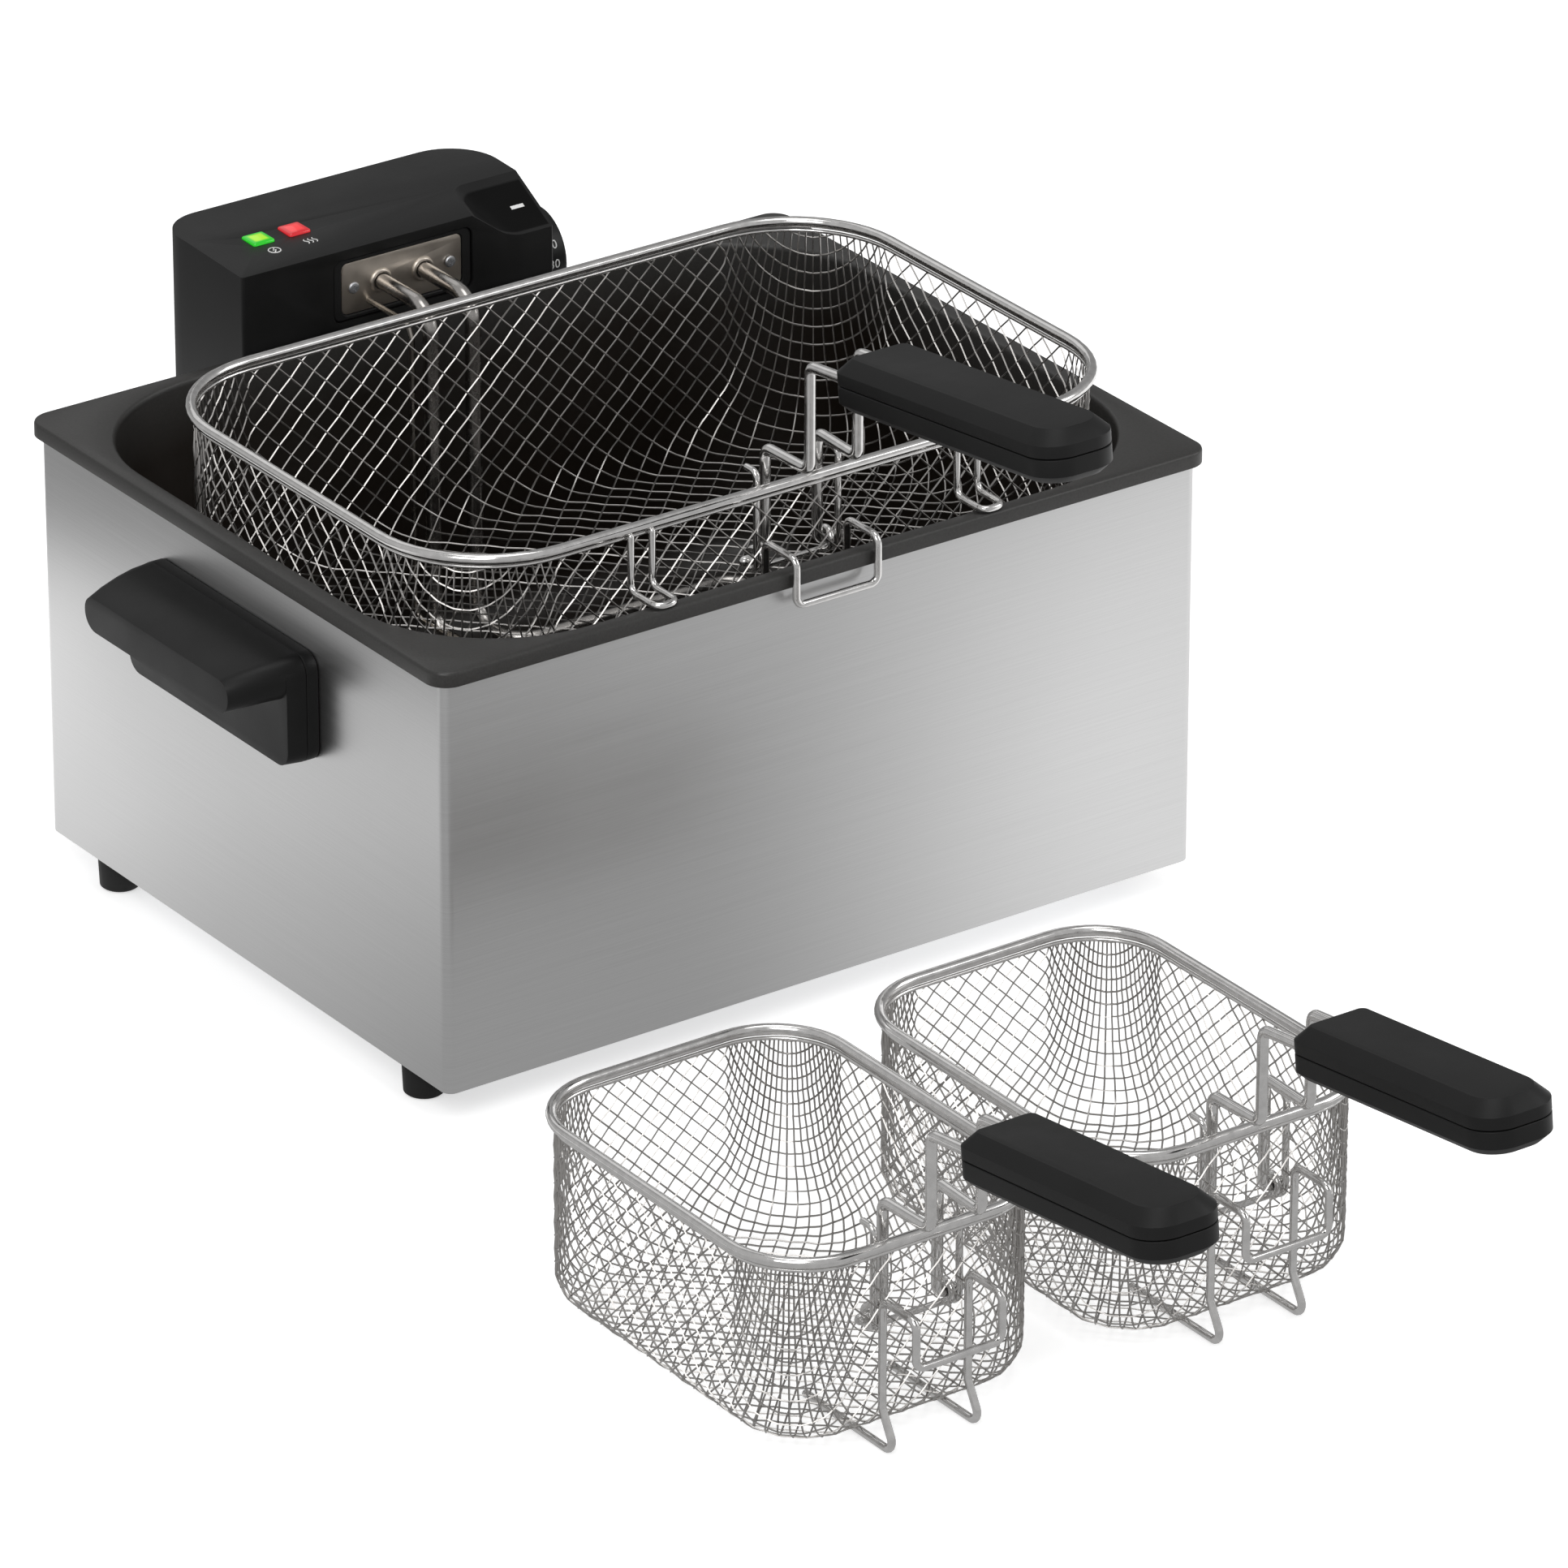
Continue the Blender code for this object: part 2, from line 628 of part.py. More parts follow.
def build_head_bracket(fryer, wrap):
    """A strip on the back wall: a foot, a shelf that carries the head, and a tongue inside it."""
    wall = HALF_DEPTH + GAP
    tongue = HEAD_FRONT + HEAD_WALL + BRACKET_CLEARANCE
    sheet = BRACKET_SHEET
    strip = [
        (wall, SHELF_Z - BRACKET_FOOT),
        (wall + sheet, SHELF_Z - BRACKET_FOOT),
        (wall + sheet, SHELF_Z - sheet),
        (tongue + sheet, SHELF_Z - sheet),
        (tongue + sheet, SHELF_Z + BRACKET_TONGUE),
        (tongue, SHELF_Z + BRACKET_TONGUE),
        (tongue, SHELF_Z),
        (wall, SHELF_Z),
    ]
    left = HEAD_CENTRE_X - BRACKET_WIDTH / 2
    rings = [[(x, y, z) for y, z in strip] for x in (left, left + BRACKET_WIDTH)]
    bracket = solid("head_bracket", rings, "zinc_steel", fryer)
    shank = BRACKET_SHEET + HOUSING_SHEET + 0.004
    profile = screw_profile(SCREW_HEAD_RADIUS, SCREW_HEAD_HEIGHT, SCREW_RADIUS, shank)
    for side, offset in (("left", -BRACKET_SCREW_SPACING / 2),
                         ("right", BRACKET_SCREW_SPACING / 2)):
        seat = (HEAD_CENTRE_X + offset, wall + sheet + GAP, SHELF_Z - BRACKET_FOOT / 2)
        turned(f"bracket_screw_{side}", profile, "zinc_steel", fryer, steps=12,
               location=seat, rotation=ALONG_Y)
        hole = cutter(f"bracket_screw_hole_{side}",
                      rod_mesh("hole", SCREW_RADIUS + SCREW_CLEARANCE, shank + 0.001, 12),
                      fryer, seat, ALONG_MINUS_Y)
        cut(bracket, hole)
        cut(wrap, hole)


# ---------------------------------------------------------------- oil pot
def build_pot(pot):
    rim_x = HALF_WIDTH + RIM_OVERHANG
    rim_y = RIM_BACK
    open_x = HALF_WIDTH - POT_OPENING_INSET_X
    open_y = HALF_DEPTH - POT_OPENING_INSET_Y
    sections = [
        (rim_x, rim_y, RIM_CORNER, RIM_HEIGHT - RIM_SKIRT),
        (rim_x, rim_y, RIM_CORNER, RIM_HEIGHT - RIM_BEVEL),
        (rim_x - RIM_BEVEL, rim_y - RIM_BEVEL, RIM_CORNER - RIM_BEVEL, RIM_HEIGHT),
        (open_x + 0.5 * POT_LIP, open_y + 0.5 * POT_LIP, POT_CORNER, RIM_HEIGHT),
        (open_x + 0.1 * POT_LIP, open_y + 0.1 * POT_LIP, POT_CORNER, RIM_HEIGHT - 0.4 * POT_LIP),
        (open_x, open_y, POT_CORNER, RIM_HEIGHT - POT_LIP),
    ]
    foot_z = POT_FLOOR + POT_FLOOR_RADIUS
    draft = POT_DRAFT
    corner = POT_CORNER - draft
    for step in range(4):
        angle = math.radians(30 * step)
        inset = draft + POT_FLOOR_RADIUS * (1 - math.cos(angle))
        z = foot_z - POT_FLOOR_RADIUS * math.sin(angle)
        sections.append((open_x - inset, open_y - inset, corner - inset + draft, z))
    rings = [at_height(centred(2 * x, 2 * y, radius, 6), z) for x, y, radius, z in sections]
    made = add("oil_pot", loft_mesh("oil_pot", rings, cap_start=False), "enamel", pot)
    wall = made.modifiers.new("wall", "SOLIDIFY")
    wall.thickness = POT_SHEET
    wall.offset = 1
    wall.use_even_offset = True
    mesh = made.data
    mesh.flip_normals()


# ---------------------------------------------------------------- control head
def head_outline(inset):
    """The head's plan, with points where the sloping panel ends on each side."""
    back_radii = (HEAD_BACK_RADIUS_RIGHT - inset, HEAD_BACK_RADIUS_LEFT - inset)
    front_radius = max(HEAD_FRONT_RADIUS - inset, 0.0005)
    points = outline(HEAD_LEFT + inset, HEAD_RIGHT - inset, HEAD_FRONT + inset,
                     HEAD_BACK - inset, (*back_radii, front_radius, front_radius))
    quarter = ARC_STEPS + 1
    crease = HEAD_FRONT + HEAD_PANEL_DEPTH
    points.insert(4 * quarter, (HEAD_RIGHT - inset, crease))
    points.insert(2 * quarter, (HEAD_LEFT + inset, crease))
    return points


def head_block(name, inset, z_low, z_high):
    """A block of the head's plan whose top slopes down from the crease to the front."""
    plan = head_outline(inset)
    mesh = loft_mesh(name, [at_height(plan, z_low), at_height(plan, z_high)])
    work = bmesh.new()
    work.from_mesh(mesh)
    work.verts.ensure_lookup_table()
    crease = HEAD_FRONT + HEAD_PANEL_DEPTH
    top = [vert for vert in work.verts if abs(vert.co.z - z_high) < 1e-6]
    ends = [vert for vert in top if abs(vert.co.y - crease) < 1e-6]
    bmesh.ops.connect_verts(work, verts=ends)
    for vert in top:
        if vert.co.y < crease:
            vert.co.z -= HEAD_FRONT_DROP * (crease - vert.co.y) / HEAD_PANEL_DEPTH
    work.to_mesh(mesh)
    work.free()
    return mesh


def scoop_mesh(name, wall):
    """The wedge that is scooped out beside the dial, grown on all sides by a wall."""
    front = HEAD_FRONT - 0.010
    back = HEAD_FRONT + SCOOP_DEPTH + 0.002 + wall
    top = HEAD_TOP + 0.006
    right = HEAD_RIGHT + 0.010
    fall = SCOOP_DROP / SCOOP_DEPTH
    run = SCOOP_SIDE_RUN / SCOOP_DROP
    left_at_top = HEAD_RIGHT - SCOOP_WIDTH_TOP - SCOOP_SIDE_SKEW - wall
    rings = []
    for y in (back, front):
        from_front = y - HEAD_FRONT
        low = HEAD_TOP - SCOOP_DROP + fall * from_front - wall
        left = left_at_top + SCOOP_SIDE_SKEW / SCOOP_DEPTH * from_front
        rings.append([
            (left + run * (HEAD_TOP - low), y, low),
            (right, y, low),
            (right, y, top),
            (left - run * (top - HEAD_TOP), y, top),
        ])
    return loft_mesh(name, rings)


def build_casing(head):
    casing = add("head_casing", head_block("head_casing", 0, HEAD_BOTTOM, HEAD_TOP),
                 "black_plastic", head)
    scoop = cutter("dial_scoop", scoop_mesh("dial_scoop", 0), head)
    inner_scoop = cutter("dial_scoop_inner", scoop_mesh("dial_scoop_inner", SCOOP_WALL), head)
    hollow = cutter("head_hollow",
                    head_block("head_hollow", HEAD_WALL, HEAD_BOTTOM - 0.002,
                               HEAD_TOP - HEAD_WALL), head)
    cut(hollow, inner_scoop)
    cut(casing, scoop, hollow)

    window = at_plate(centred(SEAL_WIDTH + 2 * GAP, SEAL_HEIGHT + 2 * GAP, PLATE_CORNER + GAP),
                      HEAD_FRONT - 0.002, HEAD_FRONT + HEAD_WALL + 0.002)
    cut(casing, cutter("plate_window", loft_mesh("plate_window", window), head))

    half = BRACKET_WIDTH / 2 + BRACKET_CLEARANCE
    tongue_back = HEAD_FRONT + HEAD_WALL + 2 * BRACKET_CLEARANCE + BRACKET_SHEET
    notch = cutter("bracket_notch",
                   box_mesh("bracket_notch", (HEAD_CENTRE_X - half, HEAD_FRONT - 0.002,
                                              HEAD_BOTTOM - 0.005),
                            (HEAD_CENTRE_X + half, tongue_back, SHELF_Z + GAP)), head)
    cut(casing, notch)

    inset = HEAD_WALL + GAP
    base_low = HEAD_BOTTOM
    base = solid("head_base", [at_height(head_outline(inset), base_low),
                               at_height(head_outline(inset), base_low + HEAD_BASE_SHEET)],
                 "black_plastic", head)
    cut(base, notch)
    return casing


def at_plate(ring, y_front, y_back):
    """The outline stood up round the middle of the heater plate, from front to back."""
    return [[(x + PLATE_OFFSET_X, y, z + PLATE_Z) for x, z in ring] for y in (y_front, y_back)]


def build_heater(head):
    plate_back = CARRIER_FRONT - GAP
    plate_front = plate_back - PLATE_SHEET
    seal_front = plate_back - SEAL_DEPTH
    seal = solid("element_seal",
                 at_plate(centred(SEAL_WIDTH, SEAL_HEIGHT, PLATE_CORNER), seal_front, plate_back),
                 "black_plastic", head)
    opening = at_plate(centred(PLATE_WIDTH + 2 * GAP, PLATE_HEIGHT + 2 * GAP,
                               PLATE_CORNER - 0.001 + GAP), seal_front - 0.002,
                       plate_back + 0.002)
    cut(seal, cutter("seal_opening", loft_mesh("seal_opening", opening), head))
    plate = solid("heater_plate",
                  at_plate(centred(PLATE_WIDTH, PLATE_HEIGHT, PLATE_CORNER - 0.001),
                           plate_front, plate_back), "brushed_steel", head)
    carrier = solid("element_carrier",
                    at_plate(centred(SEAL_WIDTH, SEAL_HEIGHT, PLATE_CORNER, 2),
                             CARRIER_FRONT, CARRIER_FRONT + CARRIER_DEPTH), "ceramic", head)

    tube_hole = ELEMENT_RADIUS + ELEMENT_CLEARANCE
    for side, offset in (("left", -ELEMENT_SPACING / 2), ("right", ELEMENT_SPACING / 2)):
        hole = cutter(f"element_hole_{side}", rod_mesh("hole", tube_hole, 0.030), head,
                      (PLATE_OFFSET_X + offset, plate_front - 0.005, PLATE_Z), ALONG_Y)
        cut(plate, hole)
        cut(carrier, hole)
    shank = PLATE_SHEET + 0.006
    profile = screw_profile(PLATE_SCREW_HEAD, 0.0012, 0.0014, shank)
    for side, offset in (("left", -PLATE_SCREW_SPACING / 2), ("right", PLATE_SCREW_SPACING / 2)):
        seat = (PLATE_OFFSET_X + offset, plate_front - GAP, PLATE_Z)
        turned(f"plate_screw_{side}", profile, "zinc_steel", head, steps=12, location=seat,
               rotation=ALONG_MINUS_Y)
        hole = cutter(f"plate_screw_hole_{side}",
                      rod_mesh("hole", 0.0014 + SCREW_CLEARANCE, shank + 0.001, 12), head, seat,
                      ALONG_Y)
        cut(plate, hole)
        cut(carrier, hole)

    build_element(head)
    build_probe(head, plate, carrier)


def build_element(head):
    """One bent tube: out of the plate, down the back of the pot and round its floor."""
    back_y = CARRIER_FRONT + CARRIER_DEPTH + ELEMENT_TAIL
    upright_y = HEAD_FRONT - ELEMENT_REACH
    low_z = POT_FLOOR + ELEMENT_ABOVE_FLOOR
    left_x = PLATE_OFFSET_X - ELEMENT_SPACING / 2
    right_x = PLATE_OFFSET_X + ELEMENT_SPACING / 2
    floor_inset = POT_DRAFT + POT_FLOOR_RADIUS + ELEMENT_MARGIN
    reach_x = HALF_WIDTH - POT_OPENING_INSET_X - floor_inset
    front_y = -(HALF_DEPTH - POT_OPENING_INSET_Y - floor_inset)
    back_run = upright_y - 0.030
    inner_x = reach_x / 3
    half_loop = [
        (left_x, back_y, PLATE_Z),
        (left_x, upright_y, PLATE_Z),
        (left_x, upright_y, low_z),
        (left_x, back_run, low_z),
        (-reach_x, back_run, low_z),
        (-reach_x, front_y, low_z),
        (-inner_x, front_y, low_z),
        (-inner_x, back_run - 0.050, low_z),
    ]
    other_half = [(-x, y, z) for x, y, z in half_loop[4:]]
    right_leg = [(right_x, y, z) for _, y, z in half_loop[:4]]
    points = half_loop + list(reversed(other_half)) + list(reversed(right_leg))
    wire("heating_element", bent_path(points, ELEMENT_BEND), ELEMENT_RADIUS, "element_steel",
         head)


def build_probe(head, plate, carrier):
    """The thermostat's capillary and its bulb, laid over the element."""
    x = PLATE_OFFSET_X + PROBE_OFFSET_X - ELEMENT_RADIUS - 2 * PROBE_RADIUS
    z = PLATE_Z - PLATE_HEIGHT / 2 + 0.004
    upright_y = HEAD_FRONT - ELEMENT_REACH + ELEMENT_RADIUS + PROBE_RADIUS + GAP
    low_z = POT_FLOOR + ELEMENT_ABOVE_FLOOR + ELEMENT_RADIUS + PROBE_BULB_RADIUS + GAP
    bulb_y = HEAD_FRONT - ELEMENT_REACH - 0.020
    points = [
        (x, CARRIER_FRONT + CARRIER_DEPTH + 0.001, z),
        (x, upright_y, z),
        (x, upright_y, low_z),
        (x, bulb_y, low_z),
    ]
    path = bent_path(points, 0.006)
    bulb = [(x, bulb_y - 0.0006, low_z), (x, bulb_y - PROBE_BULB_LENGTH, low_z)]
    made = wire("probe_tube", path + bulb, PROBE_RADIUS, "element_steel", head)
    thick = PROBE_BULB_RADIUS / PROBE_RADIUS
    for point in made.data.splines[0].points[-2:]:
        point.radius = thick
    hole = cutter("probe_hole", rod_mesh("hole", PROBE_RADIUS + ELEMENT_CLEARANCE, 0.030, 12),
                  head, (x, HEAD_FRONT - 0.005, z), ALONG_Y)
    cut(plate, hole)
    cut(carrier, hole)


def build_lights(head, casing):
    y = HEAD_FRONT + LIGHT_FROM_FRONT
    top = HEAD_TOP - HEAD_FRONT_DROP * (1 - LIGHT_FROM_FRONT / HEAD_PANEL_DEPTH)
    ledge_top = HEAD_TOP - HEAD_WALL - HEAD_FRONT_DROP - GAP
    side = LIGHT_SIDE
    wide = side + 2 * LIGHT_LEDGE
    for index, (name, finish) in enumerate((("green_light", "green_lens"),
                                            ("red_light", "red_lens"))):
        x = HEAD_LEFT + GREEN_LIGHT_FROM_LEFT + index * LIGHT_SPACING
        stack = [
            at_height(centred(wide, wide, 0.001, 2), ledge_top - LIGHT_LEDGE_HEIGHT),
            at_height(centred(wide, wide, 0.001, 2), ledge_top),
            at_height(centred(side, side, 0.001, 2), ledge_top),
            at_height(centred(side, side, 0.001, 2), top + 0.4 * LIGHT_HEIGHT),
            at_height(centred(side - 0.0016, side - 0.0016, 0.0008, 2), top + LIGHT_HEIGHT),
        ]
        solid(name, stack, finish, head, location=(x, y, 0))
        hole_side = side + 2 * GAP
        hole = [at_height(centred(hole_side, hole_side, 0.001 + GAP, 2), z)
                for z in (ledge_top - 0.0005, HEAD_TOP + 0.002)]
        cut(casing, cutter(f"{name}_hole", loft_mesh(f"{name}_hole", hole), head, (x, y, 0)))


def build_dial(head, casing):
    """The thermostat inside the right wall, its shaft, and the dial that turns outside."""
    y = HEAD_FRONT + DIAL_FROM_FRONT
    z = RIM_HEIGHT - DIAL_BELOW_RIM
    inner_wall = HEAD_RIGHT - HEAD_WALL - GAP
    thermostat_bore = SHAFT_RADIUS + SHAFT_CLEARANCE
    profile = [
        (thermostat_bore, 0),
        (THERMOSTAT_RADIUS - 0.001, 0),
        (THERMOSTAT_RADIUS, -0.001),
        (THERMOSTAT_RADIUS, -THERMOSTAT_LENGTH),
        (thermostat_bore, -THERMOSTAT_LENGTH),
    ]
    turned("thermostat", profile, "zinc_steel", head, closed=True, location=(inner_wall, y, z),
           rotation=ALONG_X)
    axis = empty("dial_axis", (HEAD_RIGHT + DIAL_CLEARANCE, y, z), head)
    shaft_start = -(DIAL_CLEARANCE + HEAD_WALL + GAP + 0.008)
    shaft = [
        (0, shaft_start + SHAFT_LENGTH),
        (SHAFT_RADIUS, shaft_start + SHAFT_LENGTH),
        (SHAFT_RADIUS, shaft_start),
        (0, shaft_start),
    ]
    turned("dial_shaft", shaft, "brass", axis, steps=16, rotation=ALONG_X)
    bore_end = shaft_start + SHAFT_LENGTH + GAP
    bore = SHAFT_RADIUS + SHAFT_CLEARANCE
    dial = [
        (0, DIAL_THICKNESS),
        (DIAL_RADIUS - 0.0015, DIAL_THICKNESS),
        (DIAL_RADIUS, DIAL_THICKNESS - 0.0015),
        (DIAL_RADIUS, 0),
        (bore, 0),
        (bore, bore_end),
        (0, bore_end),
    ]
    turned("dial", dial, "black_plastic", axis, steps=32, rotation=ALONG_X)
    hole = cutter("dial_shaft_hole", rod_mesh("hole", bore, 0.012, 16), head,
                  (HEAD_RIGHT - 0.006, y, z), ALONG_X)
    cut(casing, hole)


def build_back_fittings(head, casing):
    """The cut-out with its reset button, the cord gland and the terminal block."""
    inner_back = HEAD_BACK - HEAD_WALL - GAP
    reset_x = HEAD_LEFT + RESET_FROM_LEFT
    reset_z = HEAD_BOTTOM + RESET_ABOVE_BASE
    bore = RESET_RADIUS + RESET_CLEARANCE
    stem_bore_end = -(CUTOUT_LENGTH - 0.002)
    cutout = [
        (bore, 0),
        (CUTOUT_RADIUS, 0),
        (CUTOUT_RADIUS, -CUTOUT_LENGTH),
        (0, -CUTOUT_LENGTH),
        (0, stem_bore_end),
        (bore, stem_bore_end),
    ]
    turned("thermal_cutout", cutout, "black_plastic", head, closed=True,
           location=(reset_x, inner_back, reset_z), rotation=ALONG_Y)
    button_axis = empty("reset_axis", (reset_x, HEAD_BACK, reset_z), head)
    button_in = HEAD_WALL + GAP + CUTOUT_LENGTH - 0.002 - RESET_TRAVEL - GAP
    button = [
        (0, RESET_PROUD),
        (RESET_RADIUS - 0.0008, RESET_PROUD),
        (RESET_RADIUS, RESET_PROUD - 0.0008),
        (RESET_RADIUS, -min(RESET_STEM, button_in)),
        (0, -min(RESET_STEM, button_in)),
    ]
    turned("reset_button", button, "red_lens", button_axis, steps=16, rotation=ALONG_Y)
    cut(casing, cutter("reset_hole", rod_mesh("hole", bore, 0.012, 16), head,
                       (reset_x, HEAD_BACK - 0.007, reset_z), ALONG_Y))

    gland_x = HEAD_RIGHT - GLAND_FROM_RIGHT
    gland_z = HEAD_BOTTOM + GLAND_ABOVE_BASE
    gland = [
        (GLAND_BORE, GLAND_LENGTH),
        (0.62 * GLAND_RADIUS, GLAND_LENGTH),
        (GLAND_RADIUS, 0.003),
        (GLAND_RADIUS, GAP),
        (GLAND_NECK_RADIUS, GAP),
        (GLAND_NECK_RADIUS, -HEAD_WALL - 0.003),
        (GLAND_BORE, -HEAD_WALL - 0.003),
    ]
    turned("cord_gland", gland, "rubber", head, closed=True, steps=20,
           location=(gland_x, HEAD_BACK, gland_z), rotation=ALONG_Y)
    cut(casing, cutter("gland_hole", rod_mesh("hole", GLAND_NECK_RADIUS + GAP, 0.012, 20), head,
                       (gland_x, HEAD_BACK - 0.007, gland_z), ALONG_Y))

    wide, deep, high = TERMINAL_BLOCK
    low_z = HEAD_BOTTOM + HEAD_BASE_SHEET + GAP
    low = (gland_x - wide / 2, HEAD_BACK - HEAD_DEPTH / 2 - deep / 2, low_z)
    high_corner = (low[0] + wide, low[1] + deep, low_z + high)
    add("terminal_block", box_mesh("terminal_block", low, high_corner), "ceramic", head)


# ---------------------------------------------------------------- baskets
def build_mesh_body(name, size, corner, depth, parent):
    """The woven body as one closed sheet of its outer shape, below the rim wire."""
    half_x, half_y = size[0] / 2, size[1] / 2
    sections = [(0, -WIRE_RADIUS - GAP), (MESH_FOOT_INSET, -depth + MESH_FOOT_RADIUS)]
    for step in (1, 2):
        angle = math.radians(45 * step)
        inset = MESH_FOOT_INSET + MESH_FOOT_RADIUS * (1 - math.cos(angle))
        sections.append((inset, -depth + MESH_FOOT_RADIUS * (1 - math.sin(angle))))
    rings = [
        at_height(centred(2 * (half_x - inset), 2 * (half_y - inset), corner - inset), z)
        for inset, z in sections
    ]
    rings = [list(reversed(ring)) for ring in rings]
    shell(f"{name}_mesh", rings, MESH_WALL, "bright_wire", parent, cap_end=True)


def build_hook_wire(name, size, depth, parent):
    """One wire: two rails under the floor, up the front wall, and the hook over the pot's rim."""
    front = -size[1] / 2
    leg_y = front - HOOK_WIRE_RADIUS - HOOK_LEG_CLEARANCE
    rail_z = -depth - HOOK_WIRE_RADIUS - GAP
    half = HOOK_SPACING / 2
    points = [
        (half, leg_y - HOOK_FOOT_REACH + HOOK_RAIL, rail_z),
        (half, leg_y - HOOK_FOOT_REACH, rail_z),
        (half, leg_y, rail_z + HOOK_FOOT_RISE),
        (half, leg_y, -HOOK_BELOW_RIM),
        (half, leg_y - HOOK_REACH, -HOOK_BELOW_RIM),
        (half, leg_y - HOOK_REACH, -HOOK_BELOW_RIM - HOOK_DROP),
    ]
    path = bent_path(mirrored_x(points), HOOK_BEND)
    wire(f"{name}_hook", path, HOOK_WIRE_RADIUS, "bright_wire", parent)


def build_rests(name, size, rim_above_rim, parent):
    """Two U-shaped wires that stand the wide basket on the pot's rim."""
    front = -size[1] / 2
    leg_y = front - REST_WIRE_RADIUS - GAP
    foot_z = -rim_above_rim + REST_WIRE_RADIUS + GAP
    top_z = -WIRE_RADIUS - GAP
    half = REST_SPACING / 2
    points = [
        (half, leg_y, top_z),
        (half, leg_y, foot_z),
        (half, leg_y - REST_REACH, foot_z),
    ]
    path = bent_path(mirrored_x(points), HOOK_BEND)
    for side, x in (("left", -REST_PLACE), ("right", REST_PLACE)):
        wire(f"{name}_rest_{side}", path, REST_WIRE_RADIUS, "bright_wire", parent,
             location=(x, 0, 0))


def leg_line(size):
    """How far the handle's pivots and legs lie from the basket's middle."""
    bracket_y = -size[1] / 2 + MESH_WALL + MESH_FOOT_INSET + GAP + BRACKET_WIRE_RADIUS
    bracket_y = max(bracket_y, -size[1] / 2 + WIRE_RADIUS + GAP + BRACKET_WIRE_RADIUS)
    return bracket_y, bracket_y + EYE_RADIUS


def build_bracket(name, size, parent):
    """One wire inside the front wall: a catch, an upright, an eye, then across to the other."""
    bracket_y, pivot_y = leg_line(size)
    upright = [
        (EYE_PLACE, bracket_y + CATCH_LENGTH, CATCH_ABOVE_RIM),
        (EYE_PLACE, bracket_y, CATCH_ABOVE_RIM),
        (EYE_PLACE, bracket_y, -PIVOT_BELOW_RIM + 0.001),
    ]
    half = bent_path(upright, 0.003)
    turns = 10
    for step in range(turns + 1):
        angle = math.radians(180 + 450 * step / turns)
        half.append((
            EYE_PLACE - EYE_PITCH * step / turns,
            pivot_y + EYE_RADIUS * math.cos(angle),
            -PIVOT_BELOW_RIM + EYE_RADIUS * math.sin(angle),
        ))
    wire(f"{name}_bracket", mirrored_x(half), BRACKET_WIRE_RADIUS, "bright_wire", parent)


def build_handle(name, size, riser, grip_length, parent):
    """The handle turns about its pivots. It is drawn round that axis."""
    _, pivot_y = leg_line(size)
    pivot = empty(f"{name}_pivot", (0, pivot_y, -PIVOT_BELOW_RIM), parent)
    run_z = PIVOT_BELOW_RIM + HANDLE_RUN_ABOVE_RIM
    leg, upright = LEG_SPACING / 2, RISER_SPACING / 2
    neck_y = -HANDLE_RUN - HANDLE_NECK * math.cos(HANDLE_TILT)
    neck_z = run_z + riser + HANDLE_NECK * math.sin(HANDLE_TILT)
    tail_y = neck_y - WIRE_IN_GRIP * math.cos(HANDLE_TILT)
    tail_z = neck_z + WIRE_IN_GRIP * math.sin(HANDLE_TILT)
    points = [
        (LEG_TIP, 0, 0),
        (leg, 0, 0),
        (leg, 0, run_z),
        (upright, -HANDLE_RUN, run_z),
        (upright, -HANDLE_RUN, run_z + riser),
        (upright, tail_y, tail_z),
    ]
    wire(f"{name}_wire", bent_path(mirrored_x(points), WIRE_BEND), WIRE_RADIUS, "bright_wire",
         pivot)

    def grip_ring(inset, z):
        plan = outline(-GRIP_WIDTH / 2 + inset, GRIP_WIDTH / 2 - inset, -grip_length + inset,
                       -inset, (GRIP_START_RADIUS, GRIP_START_RADIUS,
                                GRIP_END_RADIUS, GRIP_END_RADIUS))
        return at_height(plan, z)

    half = GRIP_HEIGHT / 2
    seam = GAP / 2
    channel = upright + WIRE_RADIUS + WIRE_IN_GRIP_CLEARANCE
    core = upright - WIRE_RADIUS - WIRE_IN_GRIP_CLEARANCE
    deep = -WIRE_IN_GRIP - WIRE_RADIUS - WIRE_IN_GRIP_CLEARANCE
    core_end = -WIRE_IN_GRIP + WIRE_BEND + WIRE_RADIUS
    plan = [(-core, 0.002), (-channel, 0.002), (-channel, deep), (channel, deep),
            (channel, 0.002), (core, 0.002), (core, core_end), (-core, core_end)]
    depth = WIRE_RADIUS + WIRE_IN_GRIP_CLEARANCE
    where = {"location": (0, neck_y, neck_z), "rotation": (-HANDLE_TILT, 0, 0)}
    channel_rings = [at_height(plan, -depth), at_height(plan, depth)]
    slot = cutter(f"{name}_wire_channel", loft_mesh(f"{name}_wire_channel", channel_rings),
                  pivot, **where)
    top = [grip_ring(0, seam), grip_ring(0, half - GRIP_CHAMFER), grip_ring(GRIP_CHAMFER, half)]
    bottom = [grip_ring(GRIP_UNDER_CHAMFER, -half), grip_ring(0, -half + GRIP_UNDER_CHAMFER),
              grip_ring(0, -seam)]
    cut(solid(f"{name}_grip_top", top, "black_plastic", pivot, **where), slot)
    cut(solid(f"{name}_grip_bottom", bottom, "black_plastic", pivot, **where), slot)


def build_basket(name, size, corner, depth, riser, grip_length, location, fryer):
    basket = empty(name, location, fryer)
    rim = at_height(centred(*size, corner), 0)
    wire(f"{name}_rim", rim, WIRE_RADIUS, "bright_wire", basket, closed=True)
    build_mesh_body(name, size, corner, depth, basket)
    build_hook_wire(name, size, depth, basket)
    build_bracket(name, size, basket)
    build_handle(f"{name}_handle", size, riser, grip_length, basket)
    return basket


